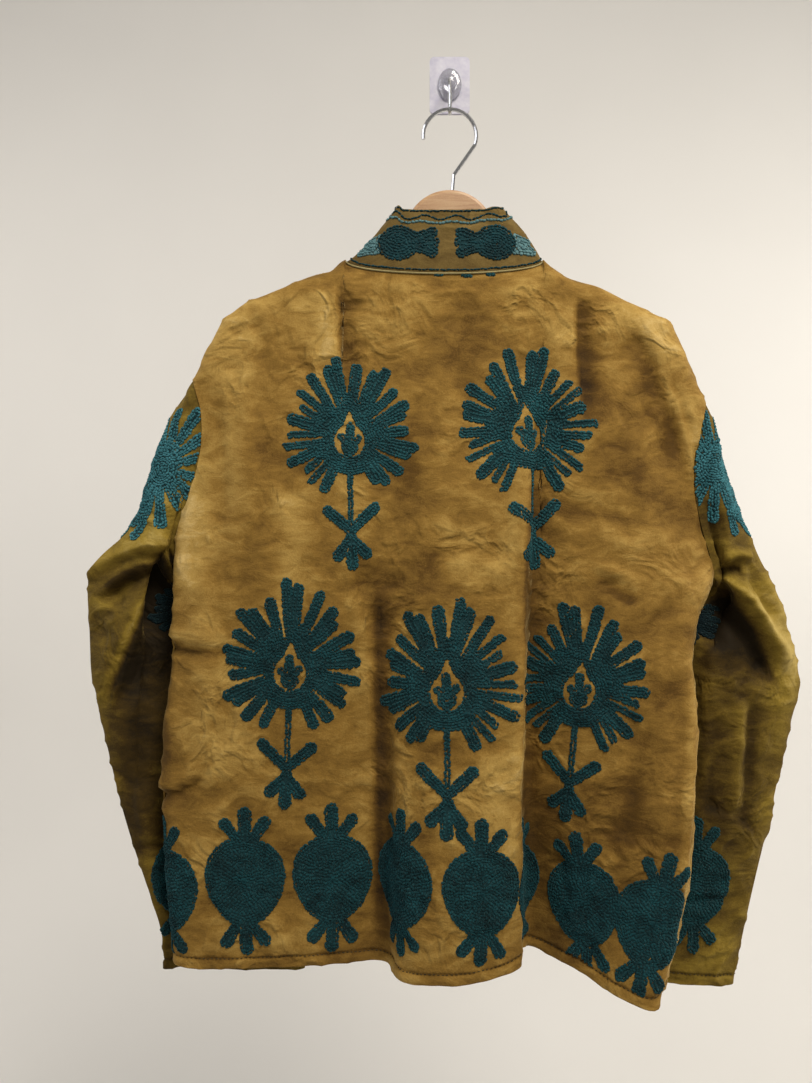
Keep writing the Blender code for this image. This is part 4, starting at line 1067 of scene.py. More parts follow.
def cotton_velvet(name, tint, sheen, *colours):
    """Short-pile velvet: clouds 80 mm wide, crushed streaks 12 mm, wrinkles 45 mm, pile 1.4 mm.

    The mesh's own "pile" value shifts the tone: painted shade in folds and hollows, painted
    highlights on lit edges and ridges, and where wear has laid the pile. Wrinkle lines are painted a
    little lighter, as a highlight on their crests.
    """
    made, tree, place = start_material(
        name, roughness=0.85, sheen_weight=sheen, sheen_roughness=0.30, sheen_tint=tint,
        specular_ior_level=0.2)
    clouds = patches_of(tree, place, 0.080, 3.0, 0.5, 0.4)
    streaks = patches_of(tree, stretched(tree, place, (0.5, 0.5, 1.0)), 0.012, 5.0, 0.66, 0.5)
    wrinkles = patches_of(tree, place, 0.045, 3.0, 0.5, 0.8)
    tufts = patches_of(tree, place, 0.0014, 2.0, 0.7)
    folded = maths(tree, "ABSOLUTE", maths(tree, "SUBTRACT", wrinkles, 0.5))
    lines = spread(tree, folded, 0.0, WRINKLE_HALF, 1.0, 0.0, interpolation_type="SMOOTHSTEP")
    lines = maths(tree, "MULTIPLY", lines, spread(tree, clouds, 0.44, 0.60))
    nap = blend(tree, TUFT_SHARE, blend(tree, STREAK_SHARE, clouds, streaks), tufts)
    nap = maths(tree, "MULTIPLY_ADD", nap, TONE_GAIN, TONE_SHIFT)
    # Wrinkle lines are painted lighter, as a highlight on their crests.
    nap = maths(tree, "MULTIPLY_ADD", lines, WRINKLE_PAINTED_HIGHLIGHT, nap)
    # The mesh's pile value brings painted shade and highlights, with the laid pile.
    painted_shade_and_pile = add(tree, "ShaderNodeAttribute", attribute_name="pile").outputs["Fac"]
    nap = maths(tree, "MULTIPLY_ADD", painted_shade_and_pile, PAINTED_SHADE_AND_PILE_TONE, nap)
    folds = relief(tree, 0.7, 0.0030, lines)
    crush = relief(tree, 0.6, 0.0024, streaks, folds)
    set_shader(made, base_color=ramp(tree, nap, list(zip(VELVET_STOPS, colours))),
               normal=relief(tree, 0.5, 0.0005, tufts, crush))
    return made


def wool_yarn(name, deep, light, painted_light_colours=None):
    """Loose two-ply wool: each stitch a little different, hairs 0.5 mm.

    Where two more colours are given, the wool above the waist is painted in them, as painted light
    where it catches more light, more and more between the two heights set for it, in metres.
    """
    made, tree, place = start_material(
        name, roughness=0.9, sheen_weight=0.14, sheen_roughness=0.5, sheen_tint="7fb4b4",
        specular_ior_level=0.2)
    batches, stitches = patches_of(tree, place, 0.018, 3.0), patches_of(tree, place, 0.0022, 2.0)
    tone = blend(tree, STITCH_SHARE, batches, stitches)
    colour = ramp(tree, tone, list(zip(WOOL_STOPS, (deep, light))))
    if painted_light_colours:
        height = add(tree, "ShaderNodeSeparateXYZ", {"Vector": place}).outputs["Z"]
        colour = add(tree, "ShaderNodeMix", {
            0: spread(tree, height, PAINTED_LIGHT_FROM, PAINTED_LIGHT_TO), 6: colour,
            7: ramp(tree, tone, list(zip(WOOL_STOPS, painted_light_colours)))}, data_type="RGBA").outputs[2]
    hairs = patches_of(tree, place, 0.0005, 1.0)
    set_shader(made, base_color=colour, normal=relief(tree, 0.6, 0.0003, hairs))
    return made


velvets = {
    # name, sheen tint, sheen, then the ramp from darkest to palest, which painted shade and crushed
    # pile reach at one end and painted highlights and worn pile at the other; the sleeves' colours
    # are painted darker overall, as the shade they hang in
    "body": cotton_velvet(
        "cotton velvet, khaki gold", "e0c484", 0.30,
        "2f1f07", "5a4014", "85652a", "aa8a47", "cbaf72"),
    "sleeve": cotton_velvet(
        "cotton velvet, olive gold, painted darker as shade", "c9a85c", 0.14,
        "1c1302", "3d2d08", "645018", "897229", "ac9552"),
    "collar": cotton_velvet(
        "cotton velvet, collar", "d4bd84", 0.24,
        "32240b", "4c3a17", "655228", "80693a", "a0875a"),
}
# Above the waist the teal wool is painted lighter as painted light, on the sleeves much lighter.
teal_wool = wool_yarn("teal wool yarn", "02181b", "15464c", ("0a272b", "22575d"))
sleeve_wool = wool_yarn("teal wool yarn, painted lighter above the waist", "02181b", "15464c", ("174248", "43808a"))
shaded_wool = wool_yarn("teal wool yarn, in the shade of the elbows", "020b0e", "0a2126")
collar_wool = wool_yarn("teal wool yarn, collar", "02161a", "123f46")
light_wool = wool_yarn("light teal wool yarn", "3b5f64", "6a8c8e")
painted_shade_wool = wool_yarn("teal wool yarn, painted dark as shade between stitches", "071e21", "14383c")
piping_cotton = wool_yarn("pale cotton piping", "85784e", "a4976a")
brown_thread = wool_yarn("brown sewing thread", "2f2109", "4d3a16")
print("materials made:", len(bpy.data.materials))

# %% [markdown]
# ## Sheets of velvet
# Each grid of points becomes one sheet. Solidify turns the sheet into a wall with its
# outside on the points, as in the solids, so the edges at the hem and cuffs show their
# real thickness.

# %% Make the sheets
def pick(made):
    """Selects this object alone, for the tools that work on what is selected."""
    for thing in list(bpy.context.selected_objects):
        thing.select_set(False)
    bpy.context.view_layer.objects.active = made
    made.select_set(True)


def piece_of(name, vertices, faces, material):
    """An object made from arrays; all faces have the same number of corners."""
    vertices, faces = np.asarray(vertices, np.float32), np.asarray(faces, np.int32)
    data = bpy.data.meshes.new(name)
    data.vertices.add(len(vertices))
    data.vertices.foreach_set("co", vertices.ravel())
    data.loops.add(faces.size)
    data.loops.foreach_set("vertex_index", faces.ravel())
    data.polygons.add(len(faces))
    corners = faces.shape[1]
    data.polygons.foreach_set("loop_start", np.arange(0, faces.size, corners, dtype=np.int32))
    data.polygons.foreach_set("loop_total", np.full(len(faces), corners, np.int32))
    data.polygons.foreach_set("use_smooth", np.ones(len(faces), bool))
    data.update(calc_edges=True)
    data.validate()
    data.materials.append(material)
    made = bpy.data.objects.new(name, data)
    bpy.context.scene.collection.objects.link(made)
    return made


def grid_faces(rows, columns, closed):
    """Faces with four corners over a grid of points; a closed grid meets itself."""
    r, c = np.meshgrid(np.arange(rows - 1), np.arange(columns if closed else columns - 1),
                       indexing="ij")
    n = (c + 1) % columns
    return np.stack([r * columns + c, r * columns + n, (r + 1) * columns + n,
                     (r + 1) * columns + c], axis=-1).reshape(-1, 4)


def sheet_of(name, points, tone, material, closed, towards):
    """A grid of points as a wall of cloth with its outside on the points."""
    rows, columns = points.shape[:2]
    faces = grid_faces(rows, columns, closed)
    corner = points.reshape(-1, 3)[faces]
    flat = np.cross(corner[:, 1] - corner[:, 0], corner[:, 3] - corner[:, 0])
    outward = towards.reshape(-1, 3)[faces[:, 0]] if towards.ndim > 1 else towards
    if (flat * outward).sum() < 0:
        faces = faces[:, ::-1]
    made = piece_of(name, points.reshape(-1, 3), faces, material)
    # The pile value holds painted shade and highlights along with how the pile lies.
    pile = made.data.attributes.new("pile", "FLOAT", "POINT")
    pile.data.foreach_set("value", tone.ravel().astype(np.float32))
    wall = made.modifiers.new("wall", "SOLIDIFY")
    wall.thickness = CLOTH
    wall.offset = -1.0
    pick(made)
    bpy.ops.object.modifier_apply(modifier="wall")
    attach(made, "root")
    return made


SHEETS = {
    # surface: node it stands for, velvet, whether it is a tube
    "back": ("back_panel", "body", False),
    "left": ("front_panel_left", "body", False),
    "right": ("front_panel_right", "body", False),
    "sleeve_left": ("sleeve_left", "sleeve", True),
    "sleeve_right": ("sleeve_right", "sleeve", True),
    "collar": ("collar", "collar", False),
}
outward = {
    "back": TO_ROOM, "left": TO_WALL, "right": TO_WALL, "collar": collar_out,
    "sleeve_left": from_middle(surfaces["sleeve_left"]),
    "sleeve_right": from_middle(surfaces["sleeve_right"]),
}
for key, (node, velvet, tube) in SHEETS.items():
    # The hidden fronts need only every second column.
    skip = 2 if key in ("left", "right") else 1
    cloth = sheet_of(
        "velvet_" + node, surfaces[key][:, ::skip], shade_and_pile_tones[key][:, ::skip], velvets[velvet], tube,
        outward[key])
    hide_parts(node)

# %% [markdown]
# ## The embroidery's motifs
# Suzani needlework is worked in chain stitch with wool: round palmettes with finger
# petals and an eye, and pomegranates with a crown and a foot. Each motif is drawn as a
# field that says how far a place is from the motif's edge, built from ovals and rounded
# bars. Lines of equal distance in that field are the rows a needle would follow.

# %% Shapes, in millimetres
PETALS, PETAL_SPREAD = 24, 154
PETAL_START, PETAL_WIDE, PETAL_TIP = 24, 5.6, 4
PETAL_REACH = ([0, 25, 70, 105, 154], [82, 72, 63, 65, 63])
PETAL_GAPS = {
    # after this petal, counted from the lower left: how near the middle the gap comes
    1: 38, 4: 28, 7: 40, 9: 31, 12: 36, 15: 27, 17: 40, 20: 30,
}
GAP_END = (66, 0.7, 2.3)
# How uneven the petals are in direction (degrees), length (shares, twice) and width (mm).
UNEVEN_WAY, UNEVEN_LENGTH, UNEVEN_FINE, UNEVEN_WIDTH = 3.2, 0.065, 0.05, 0.5
FAN_WIDTHS = (3.4, 6.0)
FAN = [
    # direction (degrees from straight up) and length (mm) of each petal of the cut flower
    (-150, 60), (-126, 62), (-102, 62), (-78, 58), (-54, 58), (-30, 54), (-8, 50), (13, 58),
    (32, 65), (51, 66), (72, 62), (102, 58), (127, 42), (152, 40), (178, 54), (198, 70),
    (215, 80),
]


def bar(x, y, ax, ay, bx, by, start, stop):
    """Distance to a rounded bar from a to b whose radius runs from start to stop."""
    dx, dy = bx - ax, by - ay
    t = np.clip(((x - ax) * dx + (y - ay) * dy) / (dx * dx + dy * dy), 0, 1)
    return np.hypot(x - ax - t * dx, y - ay - t * dy) - mix(start, stop, t)


def bars(x, y, *rows):
    """Several bars grown together."""
    return joined(*(bar(x, y, *row) for row in rows))


def ray(x, y, way, start, stop, narrow, wide):
    """A bar that points away from the middle, in degrees from straight up."""
    sx, sy = math.sin(math.radians(way)), math.cos(math.radians(way))
    return bar(x, y, sx * start, sy * start, sx * stop, sy * stop, narrow, wide)


def oval(x, y, cx, cy, rx, ry):
    """Distance to an ellipse, near enough: its middle and its two radii."""
    px, py = (x - cx) / rx, (y - cy) / ry
    size = np.hypot(px, py)
    return size * (size - 1) / (np.hypot(px / rx, py / ry) + 1e-6)


def joined(*fields):
    """The field of several shapes together."""
    return np.minimum.reduce(fields)


def flower_head(x, y, turn=0.0):
    """A round flower: finger petals that grow together half way in, an eye and a bud."""
    flower = oval(x, y, 0, 1, 42, 42)
    sides = [
        -PETAL_SPREAD + 2 * PETAL_SPREAD * i / (PETALS - 1) + UNEVEN_WAY * math.sin(i * 2.1 + turn)
        for i in range(PETALS)
    ]
    for i, side in enumerate(sides):
        reach = float(np.interp(abs(side), *PETAL_REACH))
        fine = UNEVEN_FINE * math.sin(i * 5.1 + 2 * turn)
        reach *= 1 + UNEVEN_LENGTH * math.sin(i * 2.4 + turn) + fine
        wide = PETAL_WIDE + UNEVEN_WIDTH * math.sin(i * 3.3 + turn)
        flower = joined(flower, ray(x, y, side, PETAL_START, reach - PETAL_TIP, wide, wide))
    for i, start in PETAL_GAPS.items():
        i = (i + int(4 * turn)) % (PETALS - 1)
        gap = ray(x, y, (sides[i] + sides[i + 1]) / 2, start, *GAP_END)
        flower = np.maximum(flower, -gap)
    eye = joined(oval(x, y, 0, -6, 15.5, 16.5), bar(x, y, 0, 2, 0, 22, 10.5, 1.5))
    bud = bars(
        x, y, (0, -8, 1, 8, 4.4, 4.4), (-3, -9, -8.5, -2, 3.6, 3.8), (3, -9, 8.5, -4, 3.6, 3.8),
        (0, -20, 0, -26, 2.2, 2.2))
    return joined(np.maximum(flower, -eye), oval(x, y, 0, -12, 8.8, 9.6), bud)


def cut_flower(x, y):
    """A flower met by the armhole seam: no eye shows, and its petals stand apart."""
    flower = oval(x, y, 0, 0, 20, 20)
    for way, reach in FAN:
        flower = joined(flower, ray(x, y, way, 0, reach, *FAN_WIDTHS))
    return flower


def neck_bit(x, y):
    """The end of a petal that the collar's seam has cut off."""
    return bar(x, y, -4, 0, 4, 0.5, 2.0, 1.8)


def palmette(x, y, turn=0.0):
    """The flower on a stem with two leaves and a foot."""
    stem = bar(x, y, 0, -34, 0, -98, 3.0, 2.7)
    leaves = bars(x, y, (0, -98, -23, -77, 4.8, 5.8), (0, -98, 24, -75, 4.8, 5.8))
    foot = bars(
        x, y, (0, -106, -13, -123, 5.0, 6.0), (0, -104, 1, -132, 5.4, 6.2),
        (0, -106, 15, -121, 5.0, 6.0))
    return joined(flower_head(x, y, turn), stem, leaves, foot)


def pomegranate(x, y):
    """A fruit, narrower below, with a crown of three lobes and a foot of three."""
    return joined(oval(x / (1 + 0.0030 * y), y, 0, 0, 37.5, 42), bars(
        x, y, (0, 38, 0, 64, 6.0, 6.6), (-6, 38, -19, 54, 4.6, 6.0), (6, 38, 19, 56, 4.6, 6.0),
        (0, -38, 2, -63, 5.0, 6.4), (-5, -38, -17, -57, 4.6, 6.2), (5, -38, 19, -54, 4.6, 6.2)))


def collar_bud(x, y):
    """A small fruit lying on its side: its tuft to the right, its foot to the left."""
    return joined(oval(x, y, 0, 0, 19, 16.5), bars(
        x, y, (12, 0, 31, 0, 7.0, 5.6), (14, 3, 30, 9, 5.2, 5.4), (14, -3, 30, -9, 5.2, 5.4)))


def collar_foot(x, y):
    """The foot of that fruit, in the lighter wool."""
    foot = bars(x, y, (-14, 0, -34, -6, 10.5, 4.6), (-20, 4, -30, 3, 4.5, 4.0))
    return np.maximum(foot, -oval(x, y, 0, 0, 18.0, 15.5))


PALMETTE_BOX = (-84, -144, 84, 90)
MOTIFS = {
    # field and the box it fits in, as left, low, right, high
    "flower_head": (flower_head, (-84, -84, 84, 90)),
    "cut_flower": (cut_flower, (-90, -90, 90, 90)),
    "neck_bit": (neck_bit, (-8, -5, 8, 5)),
    "palmette": (palmette, PALMETTE_BOX),
    "palmette_b": (lambda x, y: palmette(x, y, 1.7), PALMETTE_BOX),
    "palmette_c": (lambda x, y: palmette(-x, y, 3.9), PALMETTE_BOX),
    "pomegranate": (pomegranate, (-46, -74, 46, 74)),
    "collar_bud": (collar_bud, (-40, -22, 44, 22)),
    "collar_foot": (collar_foot, (-42, -22, 0, 22)),
}

# %% Rows of stitches along lines of equal distance
ROW_GAP, STITCH_STEP, EDGE_INSET, WAY_REACH = 2.5, 3.3, 1.2, 0.8
FIELD_CELL, GROUND_CELL, GROUND_INSET = 1.0, 2.0, 0.9
# Inside a fruit the stitches are turned this way and that, by up to so many radians.
FILL_RADIUS, FILL_SWING, FILL_BEATS = 31.0, 1.3, (37.0, 91.0)


def field_on_grid(motif, cell):
    """A motif's field on a grid with cells of this many mm."""
    shape, (left, low, right, high) = MOTIFS[motif]
    xs, ys = np.arange(left, right, cell), np.arange(low, high, cell)
    return xs, ys, shape(*np.meshgrid(xs, ys))


def lines_at(field, xs, ys, level):
    """The lines where the field has the given value, each as a row of x, y points."""
    inside = field < level
    points, links = {}, {}

    def crossing(i, j, upright):
        """The key of the place where the level crosses one side of a cell."""
        key = (i, j, upright)
        if key not in points:
            k, m = (i + 1, j) if upright else (i, j + 1)
            t = (level - field[i, j]) / (field[k, m] - field[i, j])
            points[key] = (mix(xs[j], xs[m], t), mix(ys[i], ys[k], t))
        return key

    changes = (inside[:-1, :-1] != inside[1:, :-1]) | (inside[:-1, :-1] != inside[:-1, 1:])
    changes |= (inside[1:, 1:] != inside[1:, :-1]) | (inside[1:, 1:] != inside[:-1, 1:])
    for i, j in zip(*np.nonzero(changes)):
        a, b, c, d = inside[i, j], inside[i, j + 1], inside[i + 1, j + 1], inside[i + 1, j]
        sides = ((a != b, i, j, False), (b != c, i, j + 1, True), (c != d, i + 1, j, False),
                 (d != a, i, j, True))
        ends = [crossing(*side) for crossed, *side in sides if crossed]
        for p, q in zip(ends[::2], ends[1::2]):
            links.setdefault(p, []).append(q)
            links.setdefault(q, []).append(p)
    lines, seen = [], set()
    for key in sorted(links):
        if key in seen:
            continue
        line, here = [key], key
        seen.add(key)
        while True:
            following = [k for k in links[here] if k not in seen]
            if not following:
                break
            here = following[0]
            seen.add(here)
            line.append(here)
        if key in links[here] and len(line) > 3:
            line.append(key)
        lines.append(np.array([points[k] for k in line]))
    return lines


def stitches_on(line):
    """Middle and direction of each stitch along a line, as x, y, dx, dy."""
    run = run_along(line)
    count = int(round(run[-1] / STITCH_STEP))
    if count < 1:
        return np.zeros((0, 4))
    at = (np.arange(count) + 0.5) * run[-1] / count
    middle, ahead, behind = (
        np.stack([np.interp(at + off, run, line[:, k]) for k in (0, 1)], axis=-1)
        for off in (0.0, WAY_REACH, -WAY_REACH))
    return np.concatenate([middle, unit(ahead - behind, 1e-9)], axis=1)


def drawn(motif):
    """A motif's stitches, and the cells of the wool ground under them."""
    xs, ys, field = field_on_grid(motif, FIELD_CELL)
    rows = []
    level = -EDGE_INSET
    while level > field.min():
        rows += [stitches_on(line) for line in lines_at(field, xs, ys, level)]
        level -= ROW_GAP
    rows = np.concatenate(rows)
    if motif == "pomegranate":
        filled = np.hypot(rows[:, 0], rows[:, 1]) < FILL_RADIUS
        beat = np.sin(rows[:, 0] * FILL_BEATS[0] + rows[:, 1] * FILL_BEATS[1])
        swing = np.where(filled, FILL_SWING * beat, 0.0)
        way = (rows[:, 2] + 1j * rows[:, 3]) * np.exp(1j * swing)
        rows[:, 2], rows[:, 3] = way.real, way.imag
    xs, ys, field = field_on_grid(motif, GROUND_CELL)
    solid = field < -GROUND_INSET
    cells = solid[:-1, :-1] & solid[1:, :-1] & solid[:-1, 1:] & solid[1:, 1:]
    ground = [(xs[j], ys[i]) for i, j in zip(*np.nonzero(cells))]
    return rows, np.array(ground)


drawings = {motif: drawn(motif) for motif in MOTIFS}
for motif, (stitches, ground) in drawings.items():
    print(motif, "stitches", len(stitches), "ground cells", len(ground))

# %% [markdown]
# ## Laying the motifs on the cloth
# A motif's millimetres are measured along the cloth, not through the air, so a flower
# that crosses a fold goes into it and comes out again as the real one does. Each point
# is reached by walking straight over the sheet in small steps from the motif's middle.

# %% Find places on a sheet
class Ground:
    """A sheet's grid as a map. Ways are walked on its smooth form, places read on its creases.

    A tube's grid stands three times side by side, so that a way can go round its back.
    """

    PACE, PACES, EDGE, COLUMN = 0.0025, 420, 0.001, 0.0025
    HIDDEN, OTHER_TURN = 1000.0, 5000.0
    # A walk stays between these rows and columns, where the two LAST ones are counted back
    # from the grid's size. Stitches start at SEWN_ROW.
    FIRST_ROW, LAST_ROW, FIRST_COLUMN, LAST_COLUMN, SEWN_ROW = 0.5, 1.51, 0.51, 1.52, 0.7

    def __init__(self, smooth, points, closed, towards):
        self.closed = closed
        smooth, points, towards = self.evened(smooth, points, towards)
        normal, level = normals_of(points, closed, towards), normals_of(smooth, closed, towards)
        if closed:
            points, normal, smooth, level = (
                np.concatenate([grid] * 3, axis=1) for grid in (points, normal, smooth, level))
        self.points, self.normal, self.smooth, self.level = points, normal, smooth, level
        self.to_hem = distance_to_last_row(points)

    def evened(self, smooth, points, towards):
        """The same sheet with columns of even width, since walks over it are truer then."""
        grids = [smooth, points, np.broadcast_to(towards, points.shape)]
        if self.closed:
            grids = [np.concatenate([grid, grid[:, :1]], axis=1) for grid in grids]
        run = run_along(grids[0][len(smooth) // 2])
        even = np.linspace(0, run[-1], int(run[-1] / self.COLUMN) + 1)
        at = np.interp(even, run, np.arange(len(run)))
        j = np.minimum(at.astype(int), len(run) - 2)
        t = (at - j)[None, :, None]
        grids = [mix(grid[:, j], grid[:, j + 1], t) for grid in grids]
        return [grid[:, :-1] for grid in grids] if self.closed else grids

    def sample(self, grid, r, c):
        """What a grid says at rows and columns that need not be whole."""
        r = np.clip(r, 0, grid.shape[0] - LAST_CELL)
        c = np.clip(c, 0, grid.shape[1] - LAST_CELL)
        i, j = r.astype(int), c.astype(int)
        s, t = r - i, c - j
        if grid.ndim == 3:
            s, t = s[:, None], t[:, None]
        return (grid[i, j] * (1 - s) * (1 - t) + grid[i + 1, j] * s * (1 - t)
                + grid[i, j + 1] * (1 - s) * t + grid[i + 1, j + 1] * s * t)

    def at_pixel(self, x, y, towards):
        """Row and column that show at a photo pixel, on the side that faces towards."""
        away = np.linalg.norm(photo_px(self.smooth) - np.array([x, y]), axis=-1)
        away = away + self.HIDDEN * ((self.level @ towards) < 0)
        if self.closed:
            third = self.points.shape[1] // 3
            away[:, :third] += self.OTHER_TURN
            away[:, 2 * third:] += self.OTHER_TURN
        return np.unravel_index(np.argmin(away), away.shape)

    def find(self, row, column, a, b):
        """Rows and columns reached by walking straight over the cloth from a place.

        Each way goes a to the right and b up, in metres. A straight walk keeps its
        direction in the cloth, so a drawing bends with the folds and does not stretch. No
        pace goes past the edge of the grid cell that it starts in.
        """
        rows, columns = self.smooth.shape[:2]
        out = self.level[row, column]
        up = np.array([0.0, 0.0, 1.0]) - out * out[2]
        up /= np.linalg.norm(up)
        right = np.cross(up, out)
        way = np.outer(a, right) + np.outer(b, up)
        far = np.linalg.norm(way, axis=1)
        way /= np.maximum(far, 1e-9)[:, None]
        r, c = np.full(len(far), float(row)), np.full(len(far), float(column))
        left = far.copy()
        for _ in range(self.PACES):
            step = np.minimum(left, self.PACE)
            i, j = r.astype(int), c.astype(int)
            s, t = r - i, c - j
            corner, beside = self.smooth[i, j], self.smooth[i, j + 1]
            below, across = self.smooth[i + 1, j], self.smooth[i + 1, j + 1]
            down = mix(below - corner, across - beside, t[:, None])
            along = mix(beside - corner, across - below, s[:, None])
            out = unit(np.cross(down, along), 1e-15)
            way = unit(way - out * (way * out).sum(axis=1)[:, None], 1e-15)
            dd, aa, da = (down * down).sum(1), (along * along).sum(1), (down * along).sum(1)
            wd, wa = (way * down).sum(1) * step, (way * along).sum(1) * step
            whole = np.maximum(dd * aa - da * da, 1e-18)
            dr, dc = (wd * aa - wa * da) / whole, (wa * dd - wd * da) / whole
            to_row = (np.where(dr > 0, 1 - s, s) + self.EDGE) / np.maximum(np.abs(dr), 1e-9)
            to_column = (np.where(dc > 0, 1 - t, t) + self.EDGE) / np.maximum(np.abs(dc), 1e-9)
            share = np.minimum(1.0, np.minimum(to_row, to_column))
            r = np.clip(r + dr * share, self.FIRST_ROW, rows - self.LAST_ROW)
            c = np.clip(c + dc * share, self.FIRST_COLUMN, columns - self.LAST_COLUMN)
            left = left - step * share
            if left.max() < 1e-6:
                break
        return r, c


grounds = {key: Ground(forms[key], surfaces[key], SHEETS[key][2], outward[key]) for key in SHEETS}

# %% [markdown]
# ## Stitches
# One chain stitch is a loop of yarn about 3.5 mm long that ends under the next one. Seen
# from a metre away it is a small rounded grain that leans a little to one side or the
# other, so it is modelled once as eight points and copied thousands of times with arrays.
# A thin ground of wool closes the gaps between the rows; mostly it is painted dark, as the shade
# between the stitches.

# %% Lay stitches and grounds
GRAIN = np.array([
    # along, beside, up, as shares of a stitch's length, width and height
    (-0.62, 0.0, 0.0), (-0.25, -0.5, 0.0), (0.3, -0.5, 0.0), (0.62, 0.0, 0.0),
    (0.3, 0.5, 0.0), (-0.25, 0.5, 0.0), (-0.24, 0.0, 0.9), (0.26, 0.0, 1.0),
])
GRAIN_FACES = np.array([
    (0, 1, 6), (1, 2, 6), (6, 2, 7), (2, 3, 7), (3, 4, 7), (4, 5, 6), (4, 6, 7), (5, 0, 6),
    (0, 5, 1), (5, 4, 1), (1, 4, 2), (4, 3, 2),
])
# Length, width and height of a stitch in wool, in thin wool and in sewing thread.
WOOL_STITCH, THIN_STITCH, THREAD_STITCH = (
    (0.0037, 0.0027, 0.0013), (0.0036, 0.0019, 0.0010), (0.0022, 0.0008, 0.0005))
# How far the ground and the stitches stand off the cloth, and how much of the way ahead
# says where a stitch points, in metres.
GROUND_RISE, STITCH_RISE, LOOK_AHEAD = 0.0004, 0.0003, 0.0006
# How far the stitches lean by turns to one side and the other, in radians.
WOOL_LEAN, COLLAR_LEAN, THREAD_LEAN = 0.30, 0.12, 0.05
# How far from the hem the wool ends, and from the collar's top edge.
HEM_CLEAR, COLLAR_CLEAR = 0.0105, 0.001
# How uneven the sewing is: shares of a stitch's lean, length, width and size.
UNEVEN_LEAN, UNEVEN_ALONG, UNEVEN_BESIDE, UNEVEN_SIZE = 0.75, 0.08, 0.10, 0.10
chance = np.random.default_rng(7)


